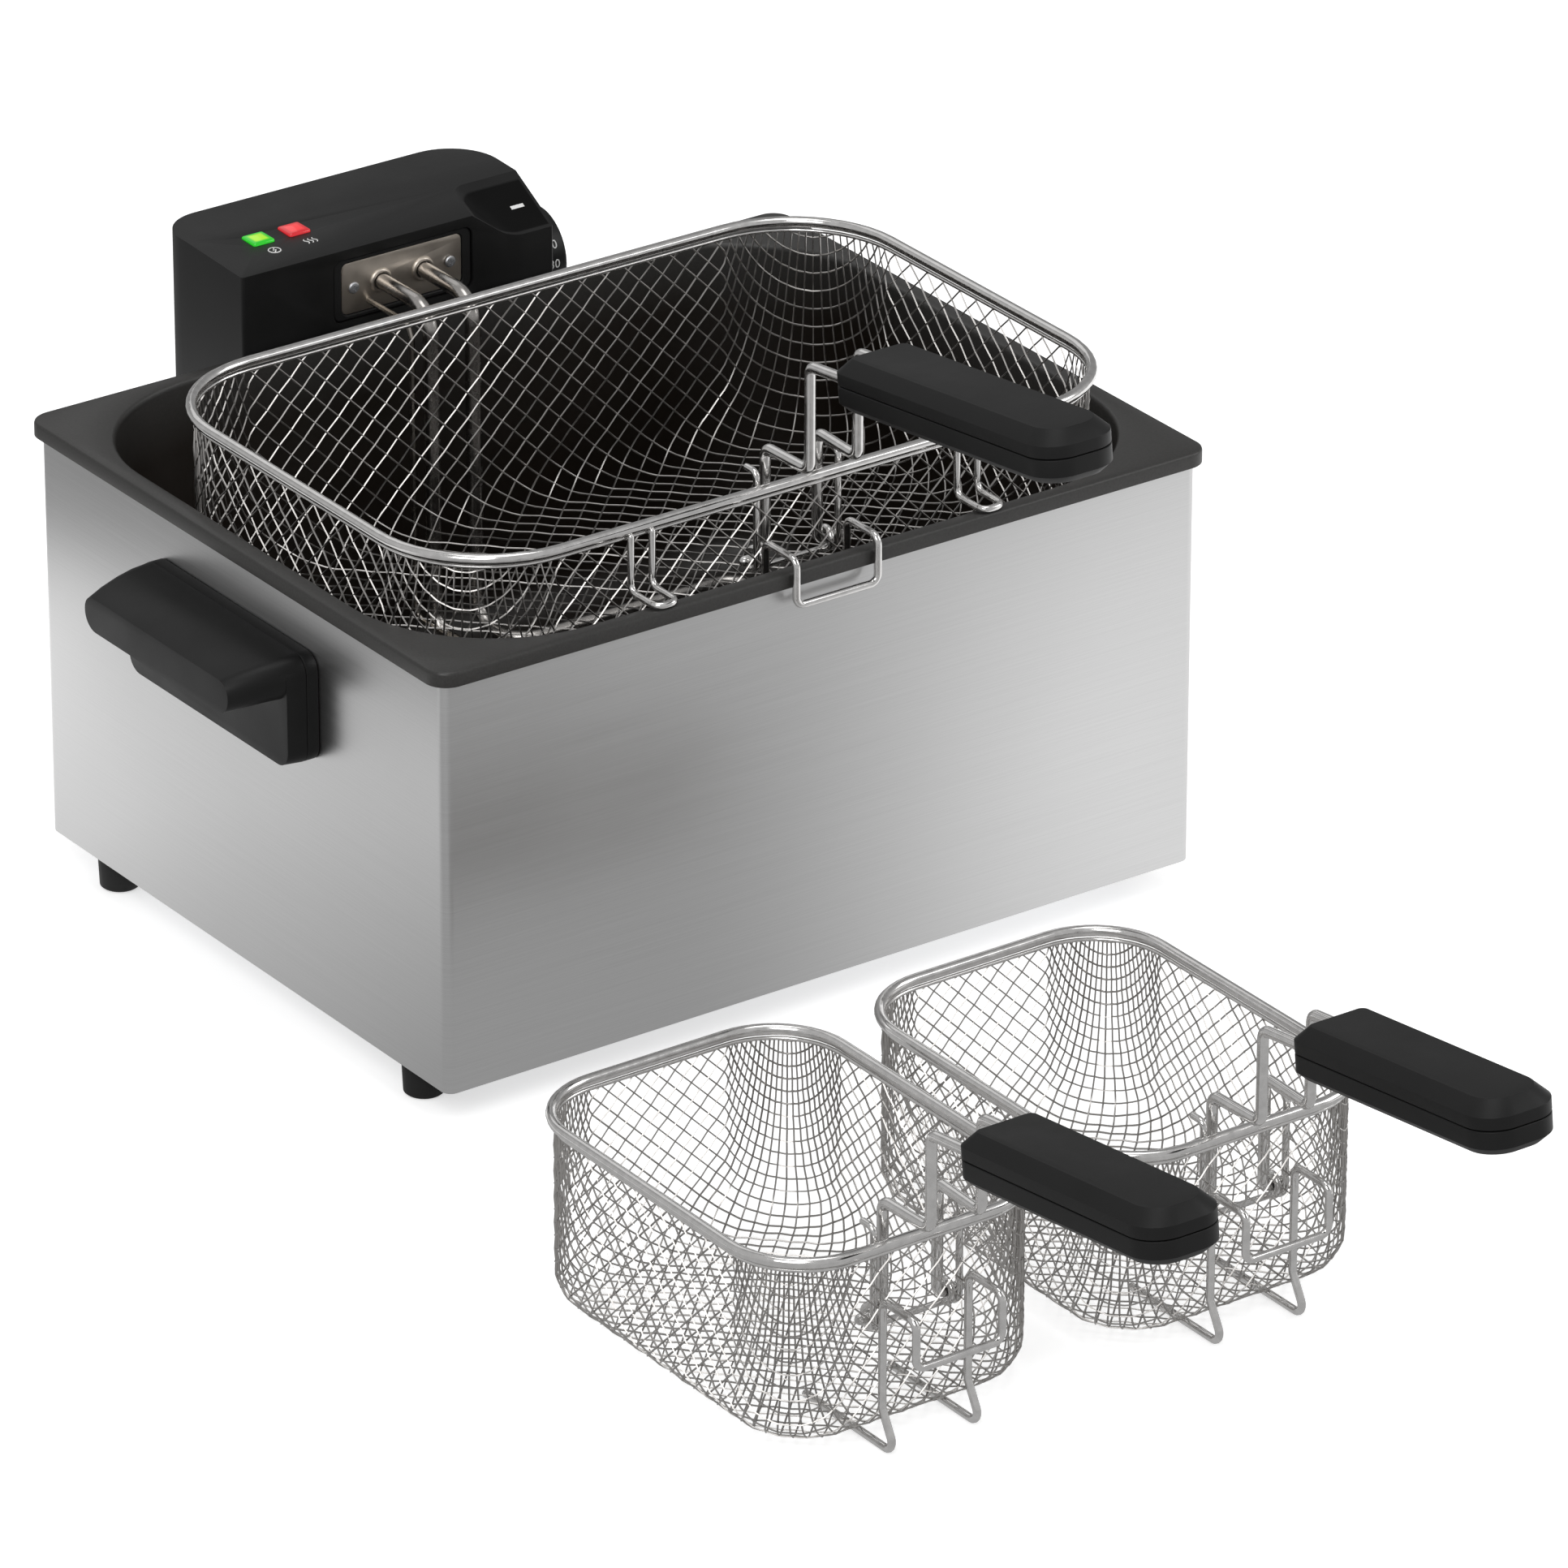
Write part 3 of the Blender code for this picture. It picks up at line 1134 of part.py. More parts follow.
def build_baskets(fryer):
    wide_y = -HALF_DEPTH + WIDE_BASKET_FRONT_INSET + WIDE_BASKET[1] / 2
    wide_z = RIM_HEIGHT + WIDE_BASKET_RIM_ABOVE_RIM
    wide = build_basket("wide_basket", WIDE_BASKET, WIDE_BASKET_CORNER, WIDE_BASKET_DEPTH,
                        WIDE_RISER, WIDE_GRIP_LENGTH, (0, wide_y, wide_z), fryer)
    build_rests("wide_basket", WIDE_BASKET, WIDE_BASKET_RIM_ABOVE_RIM, wide)
    half_z = HALF_BASKET_DEPTH + 2 * HOOK_WIRE_RADIUS + GAP
    for side, (x, y) in zip(("left", "right"), HALF_BASKET_PLACES):
        build_basket(f"half_basket_{side}", HALF_BASKET, HALF_BASKET_CORNER, HALF_BASKET_DEPTH,
                     HALF_RISER, HALF_GRIP_LENGTH, (x, y, half_z), fryer)


def centre_on_floor(root):
    """Moves the whole set so that its box stands on Z = 0 with its middle over the origin."""
    bpy.context.view_layer.update()
    graph = bpy.context.evaluated_depsgraph_get()
    points = []
    for obj in PARTS.objects:
        if obj.type == "EMPTY":
            continue
        evaluated = obj.evaluated_get(graph)
        points += [evaluated.matrix_world @ vertex.co for vertex in evaluated.to_mesh().vertices]
        evaluated.to_mesh_clear()
    low = [min(point[i] for point in points) for i in range(3)]
    high = [max(point[i] for point in points) for i in range(2)]
    root.location = (-(low[0] + high[0]) / 2, -(low[1] + high[1]) / 2, -low[2])
    bpy.context.view_layer.update()


clear_scene()
PARTS = new_collection("deep_fryer")
CUTTERS = new_collection("cutters", hidden=True)


def build():
    fryer = empty("fryer")
    wrap = build_housing(fryer)
    for name, side in (("left", -1), ("right", 1)):
        build_side_handle(fryer, wrap, name, side)
    build_head_bracket(fryer, wrap)
    build_pot(empty("pot", parent=fryer))
    head = empty("head", parent=fryer)
    casing = build_casing(head)
    build_heater(head)
    build_lights(head, casing)
    build_dial(head, casing)
    build_back_fittings(head, casing)
    build_baskets(fryer)
    centre_on_floor(fryer)


build()
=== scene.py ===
"""The looks of a counter-top deep fryer, laid out as a Blender add-on and run as a script.

Everything is in metres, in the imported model's frame. Sizes that the pieces share with the model
are read from its nodes; the values below are the ones that only the finished pieces have.
"""

import json
import math

import bmesh
import bpy
from bpy.props import FloatProperty, FloatVectorProperty, IntProperty, PointerProperty
from mathutils import Matrix, Vector


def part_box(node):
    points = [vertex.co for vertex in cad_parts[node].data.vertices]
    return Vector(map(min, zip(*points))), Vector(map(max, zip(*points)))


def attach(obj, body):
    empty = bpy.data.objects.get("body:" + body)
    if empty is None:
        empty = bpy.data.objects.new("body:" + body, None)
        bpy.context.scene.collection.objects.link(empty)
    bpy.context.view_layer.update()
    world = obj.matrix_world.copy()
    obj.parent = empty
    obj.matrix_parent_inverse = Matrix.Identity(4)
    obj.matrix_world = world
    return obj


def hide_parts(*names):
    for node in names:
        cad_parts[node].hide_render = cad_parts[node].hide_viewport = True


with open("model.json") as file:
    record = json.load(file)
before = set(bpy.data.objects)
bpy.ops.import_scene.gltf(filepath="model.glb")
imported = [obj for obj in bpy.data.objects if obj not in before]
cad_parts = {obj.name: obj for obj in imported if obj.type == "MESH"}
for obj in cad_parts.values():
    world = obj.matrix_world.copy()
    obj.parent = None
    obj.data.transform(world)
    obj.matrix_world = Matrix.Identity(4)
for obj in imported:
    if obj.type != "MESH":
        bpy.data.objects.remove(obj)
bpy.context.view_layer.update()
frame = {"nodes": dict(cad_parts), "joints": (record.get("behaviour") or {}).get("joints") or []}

bl_info = {
    "name": "Deep Fryer",
    "version": (1, 0, 0),
    "blender": (4, 5, 0),
    "location": "3D View > Sidebar > Fryer",
    "description": "Builds the visible pieces of a counter-top deep fryer on its packed model",
    "category": "Object",
}

WRAP_LOW, WRAP_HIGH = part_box("housing_wrap")
POT_LOW, POT_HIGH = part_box("oil_pot")
HEAD_LOW, HEAD_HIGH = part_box("head_casing")
MIDDLE = (WRAP_LOW + WRAP_HIGH) / 2
RIM_TOP = POT_HIGH.z
JOINTS = {joint["name"]: joint for joint in frame["joints"]}
BASKETS = ("wide_basket", "half_basket_left", "half_basket_right")

QUARTER = math.radians(90)
GAP = 0.0003  # between wires, and between moving pieces
WIRE_BEND = 0.004
EYE_RADIUS = 0.0044
EYE_DROP = 0.0345
HOOK_HALF = 0.0205  # from a basket's middle to each leg of its hook
REST_PLACES = (("left", -0.082), ("right", 0.082))
ELEMENT_RADIUS = 0.00355
ELEMENT_HALF = 0.0108  # from the heater plate's middle to each leg of the element
PLATE_SCREW_HALF = 0.0248

# The camera of the photograph, fitted to it
CAMERA_LENS = 262.97
CAMERA_SHIFT = (0.0081, -0.0004)
CAMERA_FROM_MIDDLE = (-2.4800, -3.6186)
CAMERA_HEIGHT = 2.1734
CAMERA_TURN = (64.111, -0.033, -35.257)
LIGHTS = (
    ("key_light", (-1.9, -1.5, 2.3), 1.6, 30),
    ("fill_light", (2.2, -1.3, 1.6), 1.5, 16),
    ("back_light", (0.3, 2.2, 2.0), 1.8, 5),
    ("top_light", (0.0, 0.0, 2.8), 1.4, 12),
)
LIGHTS_AIM = Vector((0, 0, 0.10))

# The baskets' handles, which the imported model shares
HANDLE_RUN = 0.0300
HANDLE_NECK = 0.0255
LEG_HEIGHT = 0.0490
GRIP_TILT = math.radians(7)
RISERS = {"wide_basket": 0.0465, "half_basket_left": 0.0410, "half_basket_right": 0.0410}
GRIP_LENGTHS = {"wide_basket": 0.147, "half_basket_left": 0.124, "half_basket_right": 0.124}


# ---------------------------------------------------------------- settings
def length(name, description, default):
    return FloatProperty(name=name, description=description, default=default, unit="LENGTH")


def colour(name, description, default):
    return FloatVectorProperty(name=name, description=description, default=default,
                               subtype="COLOR", min=0, max=1)


class FryerSizes(bpy.types.PropertyGroup):
    wrap_corner: length("Wrap corner", "Bend radius of the steel wrap's upright corners", 0.0045)
    wrap_sheet: length("Wrap sheet", "Thickness of the steel wrap", 0.001)
    rim_corner: length("Rim corner", "Corner radius of the pot's flat rim", 0.010)
    pot_corner: length("Pot corner", "Corner radius of the pot's opening", 0.070)
    pot_sheet: length("Pot sheet", "Thickness of the coated pot", 0.0012)
    plastic_edge: length("Plastic edge", "Rounding on the edges of moulded pieces", 0.0008)
    rim_wire: length("Rim wire", "Radius of the baskets' rims and handle wires", 0.0024)
    hook_wire: length("Hook wire", "Radius of the hooks' wire", 0.0017)
    fine_wire: length("Fine wire", "Radius of the rests' and brackets' wire", 0.0015)
    weave_wire: length("Weave wire", "Radius of one wire of the woven mesh", 0.0004)
    wide_pitch: length(
        "Wide basket's weave", "Width of one diamond of the wide basket's mesh", 0.0119)
    half_pitch: length(
        "Half baskets' weave", "Width of one diamond of the half baskets' mesh", 0.0080)
    wire_sides: IntProperty(
        name="Wire smoothness", description="Roundness of the thick wires", default=4, min=1,
        max=8)


class FryerColours(bpy.types.PropertyGroup):
    steel: colour("Steel", "Brushed stainless steel", (0.60, 0.60, 0.60))
    coating: colour("Coating", "Satin coating of the pot", (0.030, 0.029, 0.0275))
    plastic: colour(
        "Plastic", "Moulded plastic of head, handles and grips", (0.0085, 0.0085, 0.0085))
    wire: colour("Wire", "Bright plated wire", (0.74, 0.73, 0.72))
    green: colour("Ready light", "Green lens", (0.01, 0.55, 0.01))
    red: colour("Power light", "Red lens", (0.62, 0.012, 0.02))


def sizes():
    return bpy.context.scene.fryer_sizes


def colours():
    return bpy.context.scene.fryer_colours


# ---------------------------------------------------------------- modelling helpers
def deselect():
    if bpy.context.mode != "OBJECT":
        bpy.ops.object.mode_set(mode="OBJECT")
    bpy.ops.object.select_all(action="DESELECT")


def focus(piece):
    deselect()
    piece.hide_set(False)
    piece.select_set(True)
    bpy.context.view_layer.objects.active = piece
    return piece


def edit(piece):
    focus(piece)
    bpy.ops.object.mode_set(mode="EDIT")


def pick(kind, test):
    """In edit mode, selects the verts, edges or faces that pass the test, and nothing else."""
    bpy.ops.mesh.select_all(action="DESELECT")
    bpy.ops.mesh.select_mode(type={"verts": "VERT", "edges": "EDGE", "faces": "FACE"}[kind])
    mesh = bpy.context.object.data
    work = bmesh.from_edit_mesh(mesh)
    chosen = [element for element in getattr(work, kind) if test(element)]
    for element in chosen:
        element.select_set(True)
    bmesh.update_edit_mesh(mesh)
    return len(chosen)


def box_of(name):
    """A CAD node's lowest and highest corners, and its middle."""
    low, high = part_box(name)
    return low, high, (low + high) / 2


def middle(element):
    points = [vert.co for vert in element.verts]
    return sum(points, Vector()) / len(points)


def pick_rings(kind, numbers):
    """In edit mode, selects what lies wholly in the numbered rings. A new vertex has number 0.
    Edges between two faces are left out."""
    number = bmesh.from_edit_mesh(bpy.context.object.data).verts.layers.int["ring"]
    return pick(kind, lambda element: all(vert[number] in numbers for vert in element.verts)
                and not getattr(element, "link_faces", ())[1:])


def ring(index, width, depth, corner, z, centre=(0, 0), steps=8):
    """In edit mode, adds a loop of edges round a rectangle, numbered by its index from 1. The
    corner is one radius, or those of the right back, left back, left front and right front."""
    radii = corner if isinstance(corner, tuple) else (corner,) * 4
    mesh = bpy.context.object.data
    bpy.ops.mesh.select_all(action="DESELECT")
    bpy.ops.mesh.primitive_plane_add(size=1, location=(*centre, z))
    bpy.ops.transform.resize(value=(width, depth, 1), center_override=(*centre, z))
    number = bmesh.from_edit_mesh(mesh).verts.layers.int["ring"]
    signs = ((1, 1), (-1, 1), (-1, -1), (1, -1))
    for radius in sorted(set(radii)):
        ends = [Vector((centre[0] + sx * width / 2, centre[1] + sy * depth / 2, z))
                for (sx, sy), own in zip(signs, radii) if own == radius]
        pick("verts", lambda vert: vert[number] == 0
             and any((vert.co - end).length < 1e-6 for end in ends))
        bpy.ops.mesh.bevel(offset=radius, segments=steps, affect="VERTICES",
                           clamp_overlap=False)
    pick_rings("faces", (0,))
    bpy.ops.mesh.delete(type="ONLY_FACE")
    work = bmesh.from_edit_mesh(mesh)
    number = work.verts.layers.int["ring"]
    for vert in work.verts:
        vert[number] = vert[number] or index
    bmesh.update_edit_mesh(mesh)


def stack(name, rings, steps=8, cap_start=True, cap_end=True):
    """A piece made of loops bridged one to the next. Each ring is (width, depth, corner, z) and
    may end with the (x, y) of its middle."""
    deselect()
    bpy.ops.mesh.primitive_plane_add(size=1)
    piece = bpy.context.object
    piece.name = piece.data.name = name
    bpy.ops.object.mode_set(mode="EDIT")
    bpy.ops.mesh.delete(type="VERT")
    bmesh.from_edit_mesh(piece.data).verts.layers.int.new("ring")
    for index, (width, depth, corner, z, *centre) in enumerate(rings, 1):
        ring(index, width, depth, corner, z, centre[0] if centre else (0, 0), steps)
        if index > 1:
            pick_rings("edges", (index - 1, index))
            bpy.ops.mesh.bridge_edge_loops()
    for index in ([1] if cap_start else []) + ([len(rings)] if cap_end else []):
        pick_rings("edges", (index,))
        bpy.ops.mesh.edge_face_add()
    face_outward()
    piece.data.attributes.remove(piece.data.attributes["ring"])
    return piece


def rounds(diameters, *centre):
    """Round rings for a stack, from pairs of diameter and height. The corners stop just short of
    meeting."""
    return [(wide, wide, wide / 2 - 1e-5, z, *centre) for wide, z in diameters]


def block(name, low, high):
    """A box between two corners, to be shaped further."""
    deselect()
    low, high = Vector(low), Vector(high)
    bpy.ops.mesh.primitive_cube_add(size=1, location=(low + high) / 2)
    piece = bpy.context.object
    piece.name = piece.data.name = name
    piece.scale = high - low
    return settle(piece)


def face_outward():
    """In edit mode, turns every face outward, and goes back to object mode."""
    bpy.ops.mesh.select_all(action="SELECT")
    bpy.ops.mesh.normals_make_consistent(inside=False)
    bpy.ops.object.mode_set(mode="OBJECT")


def settle(piece):
    """Moves the piece's place into its mesh, and leaves its object at the origin."""
    focus(piece)
    bpy.ops.object.transform_apply(location=True, rotation=True, scale=True)
    return piece


def moved(piece, location=(0, 0, 0), rotation=(0, 0, 0)):
    piece.matrix_world = (Matrix.Translation(location)
                          @ Matrix.Rotation(rotation[2], 4, "Z")
                          @ Matrix.Rotation(rotation[1], 4, "Y")
                          @ Matrix.Rotation(rotation[0], 4, "X"))
    return settle(piece)


def apply_all(piece):
    focus(piece)
    for modifier in list(piece.modifiers):
        bpy.ops.object.modifier_apply(modifier=modifier.name)
    return piece


def boolean(piece, other, operation="DIFFERENCE"):
    """Cuts the other piece away, or joins it on, and removes the other piece."""
    modifier = piece.modifiers.new("boolean", "BOOLEAN")
    modifier.operation = operation
    modifier.object = other
    apply_all(piece)
    bpy.data.objects.remove(other)
    return piece


def join(piece, *others):
    """Adds the other pieces' meshes to this one as they are."""
    deselect()
    for other in (piece, *others):
        other.select_set(True)
    bpy.context.view_layer.objects.active = piece
    bpy.ops.object.join()
    return piece


def thicken(piece, thickness, inward=True):
    modifier = piece.modifiers.new("wall", "SOLIDIFY")
    modifier.thickness = thickness
    modifier.offset = -1 if inward else 1
    modifier.use_even_offset = True
    return apply_all(piece)


def soften(piece, width, segments=3, angle=28):
    """Rounds every edge sharper than the angle, in degrees, and shades the piece smooth."""
    modifier = piece.modifiers.new("edges", "BEVEL")
    modifier.width = width
    modifier.segments = segments
    modifier.limit_method = "ANGLE"
    modifier.angle_limit = math.radians(angle)
    modifier.harden_normals = False
    apply_all(piece)
    return smooth(piece, angle)


def smooth(piece, angle=35):
    focus(piece)
    bpy.ops.object.shade_smooth_by_angle(angle=math.radians(angle))
    return piece


def copy_of(piece, name):
    made = piece.copy()
    made.data = piece.data.copy()
    made.name = made.data.name = name
    bpy.context.scene.collection.objects.link(made)
    return made


def mirrored(piece, name):
    """A copy mirrored in the fryer's middle plane."""
    made = copy_of(piece, name)
    made.matrix_world = Matrix.Translation((2 * MIDDLE.x, 0, 0)) @ Matrix.Scale(-1, 4, (1, 0, 0))
    settle(made)
    bpy.ops.object.mode_set(mode="EDIT")
    face_outward()
    return made


def hand_over(piece, body, slot, material, *nodes):
    """Gives the piece its material and the body it rides on, and hides the CAD nodes it stands
    for.
    """
    piece.data.materials.clear()
    piece.data.materials.append(material)
    for face in piece.data.polygons:
        face.material_index = 0
    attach(piece, body)
    if nodes:
        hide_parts(*nodes)
    return piece


# ---------------------------------------------------------------- wires
def bent(points, radius, steps=6):
    """The points with each inner corner turned at the given radius."""
    points = [Vector(point) for point in points]
    path = [points[0]]
    for before, corner, after in zip(points, points[1:], points[2:]):
        back = (before - corner).normalized()
        on = (after - corner).normalized()
        half = back.angle(on) / 2
        reach = min(radius / math.tan(half), 0.48 * (before - corner).length,
                    0.48 * (after - corner).length)
        arc = reach * math.tan(half)
        centre = corner + (back + on).normalized() * (arc / math.sin(half))
        start = (corner + back * reach - centre).normalized()
        end = (corner + on * reach - centre).normalized()
        path += [centre + start.slerp(end, step / steps) * arc for step in range(steps + 1)]
    return path + [points[-1]]


def both_sides(points):
    """The points, then their mirror image at X = 0 in reverse order."""
    points = [Vector(point) for point in points]
    return points + [Vector((-point.x, point.y, point.z)) for point in reversed(points)]


def wires(name, paths, radius, closed=False, resolution=None, domed=True):
    """One mesh of round wires along the paths. Open ends are domed."""
    deselect()
    curve = bpy.data.curves.new(name, "CURVE")
    curve.dimensions = "3D"
    curve.bevel_depth = radius
    curve.bevel_resolution = sizes().wire_sides if resolution is None else resolution
    curve.use_fill_caps = not closed
    for path in paths:
        points = [(Vector(point), 1.0) for point in path]
        if domed and not closed:
            points = dome(points[0], points[1], radius)[::-1] + points
            points += dome(points[-1], points[-2], radius)
        spline = curve.splines.new("POLY")
        spline.points.add(len(points) - 1)
        for slot, (point, share) in zip(spline.points, points):
            slot.co = (*point, 1.0)
            slot.radius = share
        spline.use_cyclic_u = closed
        spline.use_smooth = True
    made = bpy.data.objects.new(name, curve)
    bpy.context.scene.collection.objects.link(made)
    focus(made)
    bpy.ops.object.convert(target="MESH")
    piece = bpy.context.object
    piece.name = piece.data.name = name
    bpy.ops.object.mode_set(mode="EDIT")
    bpy.ops.mesh.select_all(action="SELECT")
    bpy.ops.mesh.remove_doubles(threshold=radius * 1e-3)
    bpy.ops.mesh.normals_make_consistent(inside=False)
    bpy.ops.object.mode_set(mode="OBJECT")
    return smooth(piece, 60)


def dome(end, inner, radius):
    """Points past an open end, ever thinner, that round it off."""
    tip, inside = end[0], inner[0]
    on = (tip - inside).normalized()
    return [(tip + on * radius * math.sin(turn), math.cos(turn))
            for turn in (math.radians(30), math.radians(60), math.radians(85))]


def loop(width, depth, corner, z, steps=12):
    """Points round a rounded rectangle at one height."""
    points = []
    for turn, (sx, sy) in enumerate(((1, 1), (-1, 1), (-1, -1), (1, -1))):
        for step in range(steps + 1):
            angle = math.radians(90 * (turn + step / steps))
            points.append(Vector((sx * (width / 2 - corner) + corner * math.cos(angle),
                                  sy * (depth / 2 - corner) + corner * math.sin(angle), z)))
    return points


# ---------------------------------------------------------------- shader helpers
def new_group(name, inputs, outputs):
    """An empty shader group with named sockets, returned with its input and output nodes."""
    group = bpy.data.node_groups.new(name, "ShaderNodeTree")
    for socket, kind, value in inputs:
        made = group.interface.new_socket(socket, in_out="INPUT", socket_type=kind)
        if value is not None:
            made.default_value = value
    for socket, kind in outputs:
        group.interface.new_socket(socket, in_out="OUTPUT", socket_type=kind)
    return group, group.nodes.new("NodeGroupInput"), group.nodes.new("NodeGroupOutput")


def node(tree, kind, inputs=(), **settings):
    """Adds a node. An input is a value or another node's output socket."""
    made = tree.nodes.new(kind)
    for name, value in settings.items():
        setattr(made, name, value)
    for name, value in dict(inputs).items():
        if isinstance(value, bpy.types.NodeSocket):
            tree.links.new(value, made.inputs[name])
        else:
            made.inputs[name].default_value = value
    return made


def ranged(tree, value, from_low, from_high, to_low=0.0, to_high=1.0, **settings):
    """The value carried from one range to another."""
    limits = {"Value": value, "From Min": from_low, "From Max": from_high,
              "To Min": to_low, "To Max": to_high}
    return node(tree, "ShaderNodeMapRange", limits, **settings).outputs[0]


def maths(tree, operation, *values):
    made = node(tree, "ShaderNodeMath", dict(enumerate(values)), operation=operation)
    return made.outputs[0]


def vector_maths(tree, operation, *values):
    made = node(tree, "ShaderNodeVectorMath", dict(enumerate(values)), operation=operation)
    return made.outputs["Value" if operation == "DOT_PRODUCT" else "Vector"]


def noise_at(tree, place, scale, detail, roughness=0.5):
    inputs = {"Vector": place, "Scale": scale, "Detail": detail, "Roughness": roughness}
    return node(tree, "ShaderNodeTexNoise", inputs).outputs["Fac"]


def grain_group():
    """Fine lines along the sheet, with broad soft patches where the brushing changes."""
    group, given, out = new_group(
        "Brushed Grain",
        [("Along", "NodeSocketFloat", 6.0), ("Across", "NodeSocketFloat", 700.0),
         ("Strength", "NodeSocketFloat", 0.1)],
        [("Mask", "NodeSocketFloat"), ("Patches", "NodeSocketFloat"),
         ("Height", "NodeSocketFloat")])
    place = node(group, "ShaderNodeTexCoord").outputs["Object"]
    spread = node(group, "ShaderNodeCombineXYZ", {"X": given.outputs["Along"],
                                                  "Y": given.outputs["Along"],
                                                  "Z": given.outputs["Across"]})
    lines = vector_maths(group, "MULTIPLY", place, spread.outputs[0])
    noise = noise_at(group, lines, 3.0, 4.0, 0.6)
    patches = noise_at(group, place, 9.0, 2.0)
    height = maths(group, "MULTIPLY", noise, given.outputs["Strength"])
    group.links.new(noise, out.inputs["Mask"])
    group.links.new(patches, out.inputs["Patches"])
    group.links.new(height, out.inputs["Height"])
    return group


def moulded_group():
    """The fine spark-eroded texture of moulded plastic, with faint handling marks."""
    group, given, out = new_group(
        "Moulded Texture",
        [("Colour", "NodeSocketColor", (0.03, 0.03, 0.03, 1)),
         ("Scale", "NodeSocketFloat", 1500.0), ("Roughness", "NodeSocketFloat", 0.45)],
        [("Colour", "NodeSocketColor"), ("Roughness", "NodeSocketFloat"),
         ("Height", "NodeSocketFloat")])
    place = node(group, "ShaderNodeTexCoord").outputs["Object"]
    fine = noise_at(group, place, given.outputs["Scale"], 3.0)
    marks = noise_at(group, place, 35.0, 5.0)
    tone = ranged(group, marks, 0.3, 0.7, 0.86, 1.14)
    shade = vector_maths(group, "MULTIPLY", given.outputs["Colour"], tone)
    spread = ranged(group, marks, 0.3, 0.7, -0.05, 0.05)
    rough = maths(group, "ADD", given.outputs["Roughness"], spread)
    group.links.new(shade, out.inputs["Colour"])
    group.links.new(rough, out.inputs["Roughness"])
    group.links.new(fine, out.inputs["Height"])
    return group


def bare_material(name):
    material = bpy.data.materials.new(name)
    material.use_nodes = True
    tree = material.node_tree
    return material, tree, tree.nodes["Principled BSDF"]


def bump(tree, shader, height, strength, distance):
    made = node(tree, "ShaderNodeBump", {"Height": height, "Strength": strength,
                                         "Distance": distance})
    tree.links.new(made.outputs[0], shader.inputs["Normal"])


def brushed(name, colour, roughness, along=6.0, across=700.0, strength=0.1, tone=0.06):
    """Metal with fine lines along it."""
    material, tree, shader = bare_material(name)
    shader.inputs["Metallic"].default_value = 1.0
    grain = node(tree, "ShaderNodeGroup", node_tree=bpy.data.node_groups["Brushed Grain"])
    grain.inputs["Along"].default_value = along
    grain.inputs["Across"].default_value = across
    grain.inputs["Strength"].default_value = strength
    shade = ranged(tree, grain.outputs["Mask"], 0.3, 0.7, 1 - tone, 1 + tone)
    tint = vector_maths(tree, "MULTIPLY", colour, shade)
    tree.links.new(tint, shader.inputs["Base Color"])
    rough = ranged(tree, grain.outputs["Mask"], 0.3, 0.7, roughness - 0.04, roughness + 0.05)
    patch = ranged(tree, grain.outputs["Patches"], 0.3, 0.7, -0.02, 0.02)
    total = maths(tree, "ADD", rough, patch)
    tree.links.new(total, shader.inputs["Roughness"])
    bump(tree, shader, grain.outputs["Height"], 0.35, 0.0002)
    return material


def moulded(name, colour, roughness=0.45, scale=1500.0, relief=0.12, specular=0.25):
    """Plastic, rubber or coating with a fine moulded texture."""
    material, tree, shader = bare_material(name)
    texture = node(tree, "ShaderNodeGroup", node_tree=bpy.data.node_groups["Moulded Texture"])
    texture.inputs["Colour"].default_value = (*colour, 1)
    texture.inputs["Scale"].default_value = scale
    texture.inputs["Roughness"].default_value = roughness
    tree.links.new(texture.outputs["Colour"], shader.inputs["Base Color"])
    tree.links.new(texture.outputs["Roughness"], shader.inputs["Roughness"])
    shader.inputs["Specular IOR Level"].default_value = specular
    bump(tree, shader, texture.outputs["Height"], relief, 0.0001)
    return material


def casing_with_painted_dish_shade(name, colour):
    """Casing plastic with painted shade in the dish beside the dial: its colour is darkened and
    its specular lowered there.
    """
    material = moulded(name, colour, 0.42)
    tree = material.node_tree
    shader = tree.nodes["Principled BSDF"]
    texture = shader.inputs["Base Color"].links[0].from_socket
    place = node(tree, "ShaderNodeTexCoord").outputs["Object"]
    parts = node(tree, "ShaderNodeSeparateXYZ", {0: place})
    limits = (("X", HEAD_HIGH.x - 0.046, 1), ("X", HEAD_HIGH.x - 0.0012, -1),
              ("Y", HEAD_LOW.y + 0.0012, 1), ("Y", HEAD_LOW.y + 0.0325, -1),
              ("Z", HEAD_HIGH.z - 0.0175, 1), ("Z", HEAD_HIGH.z - 0.0026, -1))
    # Painted shade: a mask over the dish beside the dial, where the colour drops to 35 per cent
    # and the specular is lowered.
    dish_shade_mask = 1.0
    for axis, limit, sign in limits:
        own = ranged(tree, parts.outputs[axis], limit, limit + sign * 0.0006)
        dish_shade_mask = maths(tree, "MULTIPLY", own, dish_shade_mask)
    share = ranged(tree, dish_shade_mask, 0.0, 1.0, 1.0, 0.35)
    shade = vector_maths(tree, "MULTIPLY", texture, share)
    tree.links.new(shade, shader.inputs["Base Color"])
    level = ranged(tree, dish_shade_mask, 0.0, 1.0, 0.25, 0.08)
    tree.links.new(level, shader.inputs["Specular IOR Level"])
    return material


def bright_wire(name, colour, roughness):
    """Plated wire with faint draw marks and a little dulling."""
    material, tree, shader = bare_material(name)
    shader.inputs["Metallic"].default_value = 1.0
    place = node(tree, "ShaderNodeTexCoord").outputs["Object"]
    marks = noise_at(tree, place, 260.0, 4.0)
    dull = ranged(tree, marks, 0.35, 0.75, roughness, roughness + 0.12)
    tone = ranged(tree, marks, 0.3, 0.7, 0.9, 1.06)
    tint = vector_maths(tree, "MULTIPLY", colour, tone)
    tree.links.new(tint, shader.inputs["Base Color"])
    tree.links.new(dull, shader.inputs["Roughness"])
    return material


